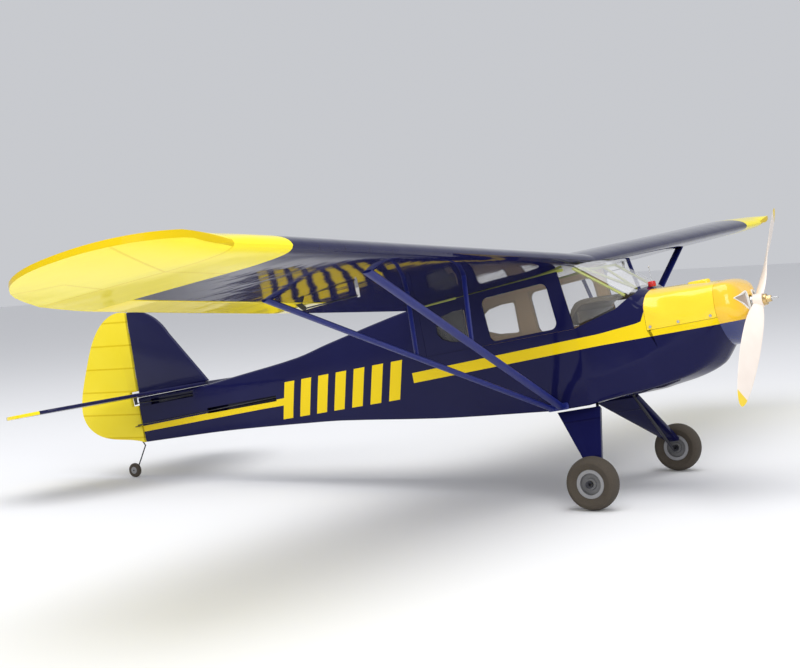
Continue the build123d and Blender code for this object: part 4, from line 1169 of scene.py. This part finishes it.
# ---------------------------------------------------------------- making, piece by piece
def make_fuselage():
    """Hull and hatch cut from one form."""
    # The third material is the dark navy film painted as shade on the inner wall aft of the cabin.
    hull = fuselage_form("fuselage_finished", [FILM, PLYWOOD, NAVY_FILM])
    cut(hull, [
        prism(CABIN_OPENING, -100, 100),
        cutter_of(block(*HATCH_RECESS)),
        wing_seat(),
        fuselage_core(),
    ])
    cut(hull, [block(*ELEVATOR_ROD_SLOT), block(*RUDDER_ROD_SLOT)])
    smooth_by_angle(hull.data, 30)
    stand_in(hull, "navy_film", "fuselage_hull")
    hatch = fuselage_form("hatch_finished", [HATCH_PAINT, PLYWOOD])
    cut(hatch, [block(*HATCH_BLOCK)], "INTERSECT")
    cut(hatch, [fuselage_core()])
    smooth_by_angle(hatch.data, 30)
    stand_in(hatch, "cowl_paint", "hatch")


def make_hatch_blister():
    """The low raised oval on top of the hatch."""
    loops = []
    for lift, grow in ((34.0, 0.0), (36.9, 0.0), (38.6, -1.0), (39.3, -2.6)):
        loop = []
        for side_x, angles in ((-63, even(math.pi / 2, -math.pi / 2, 12)),
                               (-79, even(-math.pi / 2, -3 * math.pi / 2, 12))):
            for a in angles:
                loop.append((side_x + (7 + grow) * math.cos(a), (7 + grow) * math.sin(a), lift))
        loops.append(loop)
    points, faces = rings(loops)
    trim(build("hatch_blister", points, faces, [HATCH_PAINT], degrees=50), "hatch")


def inner_or_outer(centre, normal):
    """1 on the faces that look into the cabin."""
    return 1 if normal.y * centre.y < -0.3 * abs(centre.y) else 0


def dress_rest():
    """The nodes whose CAD shape is kept, each with its own finish, some with rounded edges."""
    for hand in ("left", "right"):
        dress("cabin_side_" + hand, "navy_film", [FILM, PLYWOOD], chooser=inner_or_outer)
        dress("gear_leg_" + hand, "navy_film", [NAVY_FILM], bevel=1.2, segments=3)
        for place in ("front", "rear"):
            dress(place + "_strut_" + hand, "blue_paint", [STRUT_PAINT], degrees=50)
        dress("elevator_" + hand, "navy_film", [TAIL_FILM], bevel=0.6)
        dress("aileron_servo_arm_" + hand, "white_nylon", [WHITE_PLASTIC], bevel=0.2)
        dress("aileron_pushrod_" + hand, "steel", [WIRE])
    dress("equipment_trays", "light_ply", [PLYWOOD], bevel=0.2)
    dress("instrument_panel", "dark_coaming", [COAMING], bevel=0.8)
    dress("firewall", "light_ply", [PLYWOOD])
    dress("windshield", "clear_sheet", [WINDSHIELD], degrees=60)
    dress("windshield_frame", "olive_frame", [OLIVE], degrees=50)
    dress("cabin_windows", "clear_sheet", [CLEAR])
    dress("motor_mount", "motor_case", [ALLOY])
    dress("battery", "battery_wrap", [WRAP])
    dress("radio_units", "black_nylon", [BLACK])
    dress("servos", "black_nylon", [BLACK], bevel=0.4)
    dress("jury_struts", "blue_paint", [STRUT_PAINT], degrees=50)
    dress("strut_fittings", "blue_paint", [STRUT_PAINT], bevel=0.2)
    dress("axles", "steel", [WIRE], degrees=40)
    dress("fin", "navy_film", [NAVY_FILM], bevel=2.0, segments=4)
    dress("stabilizer", "navy_film", [TAIL_FILM], bevel=0.6)
    dress("fuel_cap", "red_cap", [RED, STEEL], bevel=0.3,
          chooser=lambda centre, normal: 1 if centre.z > 50.5 else 0)
    dress("hinge_pins", "steel", [STEEL])
    dress("hatch_screws", "steel", [STEEL])
    dress("prop_driver", "hub_alloy", [ALLOY], bevel=0.3)
    dress("prop_nut", "brass_fittings", [BRASS], bevel=0.4)
    dress("motor_bell", "steel", [STEEL])
    dress("elevator_joiner", "white_nylon", [BLACK])
    dress("rudder", "yellow_film", [RUDDER_FILM], bevel=2.0, segments=4)
    dress("rudder_horn", "white_nylon", [BLACK], bevel=0.2)
    dress("tail_wheel_wire", "steel", [WIRE], degrees=50)
    dress("tail_hub", "wheel_plastic", [HUB_LIGHT], bevel=0.4)
    for rod in ("elevator_pushrod", "rudder_pushrod"):
        dress(rod, "steel", [WIRE])
    for arm in ("elevator_servo_arm", "rudder_servo_arm"):
        dress(arm, "white_nylon", [WHITE_PLASTIC], bevel=0.2)


# ---------------------------------------------------------------- stage
def soft_light(name, place, target, size, power, colour=(1, 1, 1)):
    """A square soft light aimed at a point, in metres."""
    light = bpy.data.lights.new(name, "AREA")
    light.shape = "SQUARE"
    light.size = size
    light.energy = power
    light.color = colour
    lamp = bpy.data.objects.new(name, light)
    lamp.location = place
    lamp.rotation_euler = (Vector(target) - Vector(place)).to_track_quat("-Z", "Y").to_euler()
    bpy.context.scene.collection.objects.link(lamp)
    return lamp


def make_stage():
    """Pale floor, soft light and the camera."""
    scene = bpy.context.scene
    scene.view_settings.view_transform = "Standard"
    floor_mesh = bpy.data.meshes.new("floor")
    reach = 14.0
    floor_mesh.from_pydata([(-reach, -reach, 0), (reach, -reach, 0), (reach, reach, 0),
                            (-reach, reach, 0)], [], [(0, 1, 2, 3)])
    floor = link_mesh("floor", floor_mesh)
    material, tree, shader = new_material("floor_paper")
    set_inputs(shader, Base_Color=(0.86, 0.86, 0.87, 1), Roughness=0.9)
    floor_mesh.materials.append(material)
    world = bpy.data.worlds.new("studio")
    world.use_nodes = True
    world.node_tree.nodes["Background"].inputs["Color"].default_value = (0.93, 0.95, 1.0, 1)
    world.node_tree.nodes["Background"].inputs["Strength"].default_value = 0.62
    scene.world = world
    middle = (0.0, 0.0, 0.2)
    soft_light("overhead", (0.4, -0.6, 3.2), middle, 3.0, 70)
    soft_light("front_left", (2.6, -2.4, 1.6), middle, 1.6, 28)
    soft_light("rear_right", (-2.6, -1.2, 1.4), middle, 1.4, 10)
    fill = soft_light("near_side", (0.9, -3.0, 0.7), middle, 1.6, 22, (1, 0.97, 0.92))
    fill.visible_glossy = False

    camera_data = bpy.data.cameras.new("camera")
    camera_data.sensor_width = 36.0
    camera_data.lens = 66.36
    camera_data.clip_start = 0.05
    camera_data.clip_end = 60.0
    camera = bpy.data.objects.new("camera", camera_data)
    place = Vector((531.3, -1803.1, 5.4))
    yaw, pitch, roll = 2.096, 0.020, -0.187
    ahead = Vector((math.cos(pitch) * math.cos(yaw), math.cos(pitch) * math.sin(yaw),
                    math.sin(pitch)))
    right = ahead.cross(Vector((0, 0, 1))).normalized()
    over = right.cross(ahead)
    rolled_right = right * math.cos(roll) + over * math.sin(roll)
    rolled_over = over * math.cos(roll) - right * math.sin(roll)
    axes = Matrix((TURN @ rolled_right, TURN @ rolled_over, TURN @ -ahead)).transposed()
    camera.matrix_world = Matrix.Translation(LEVEL @ place) @ axes.to_4x4()
    scene.collection.objects.link(camera)
    scene.camera = camera


make_stage()
make_fuselage()
make_hatch_blister()
for hand_side, hand_name in ((1, "left"), (-1, "right")):
    make_wing(hand_side, hand_name)
make_cowl()
make_inlets()
make_propeller()
make_wheels()
dress_rest()
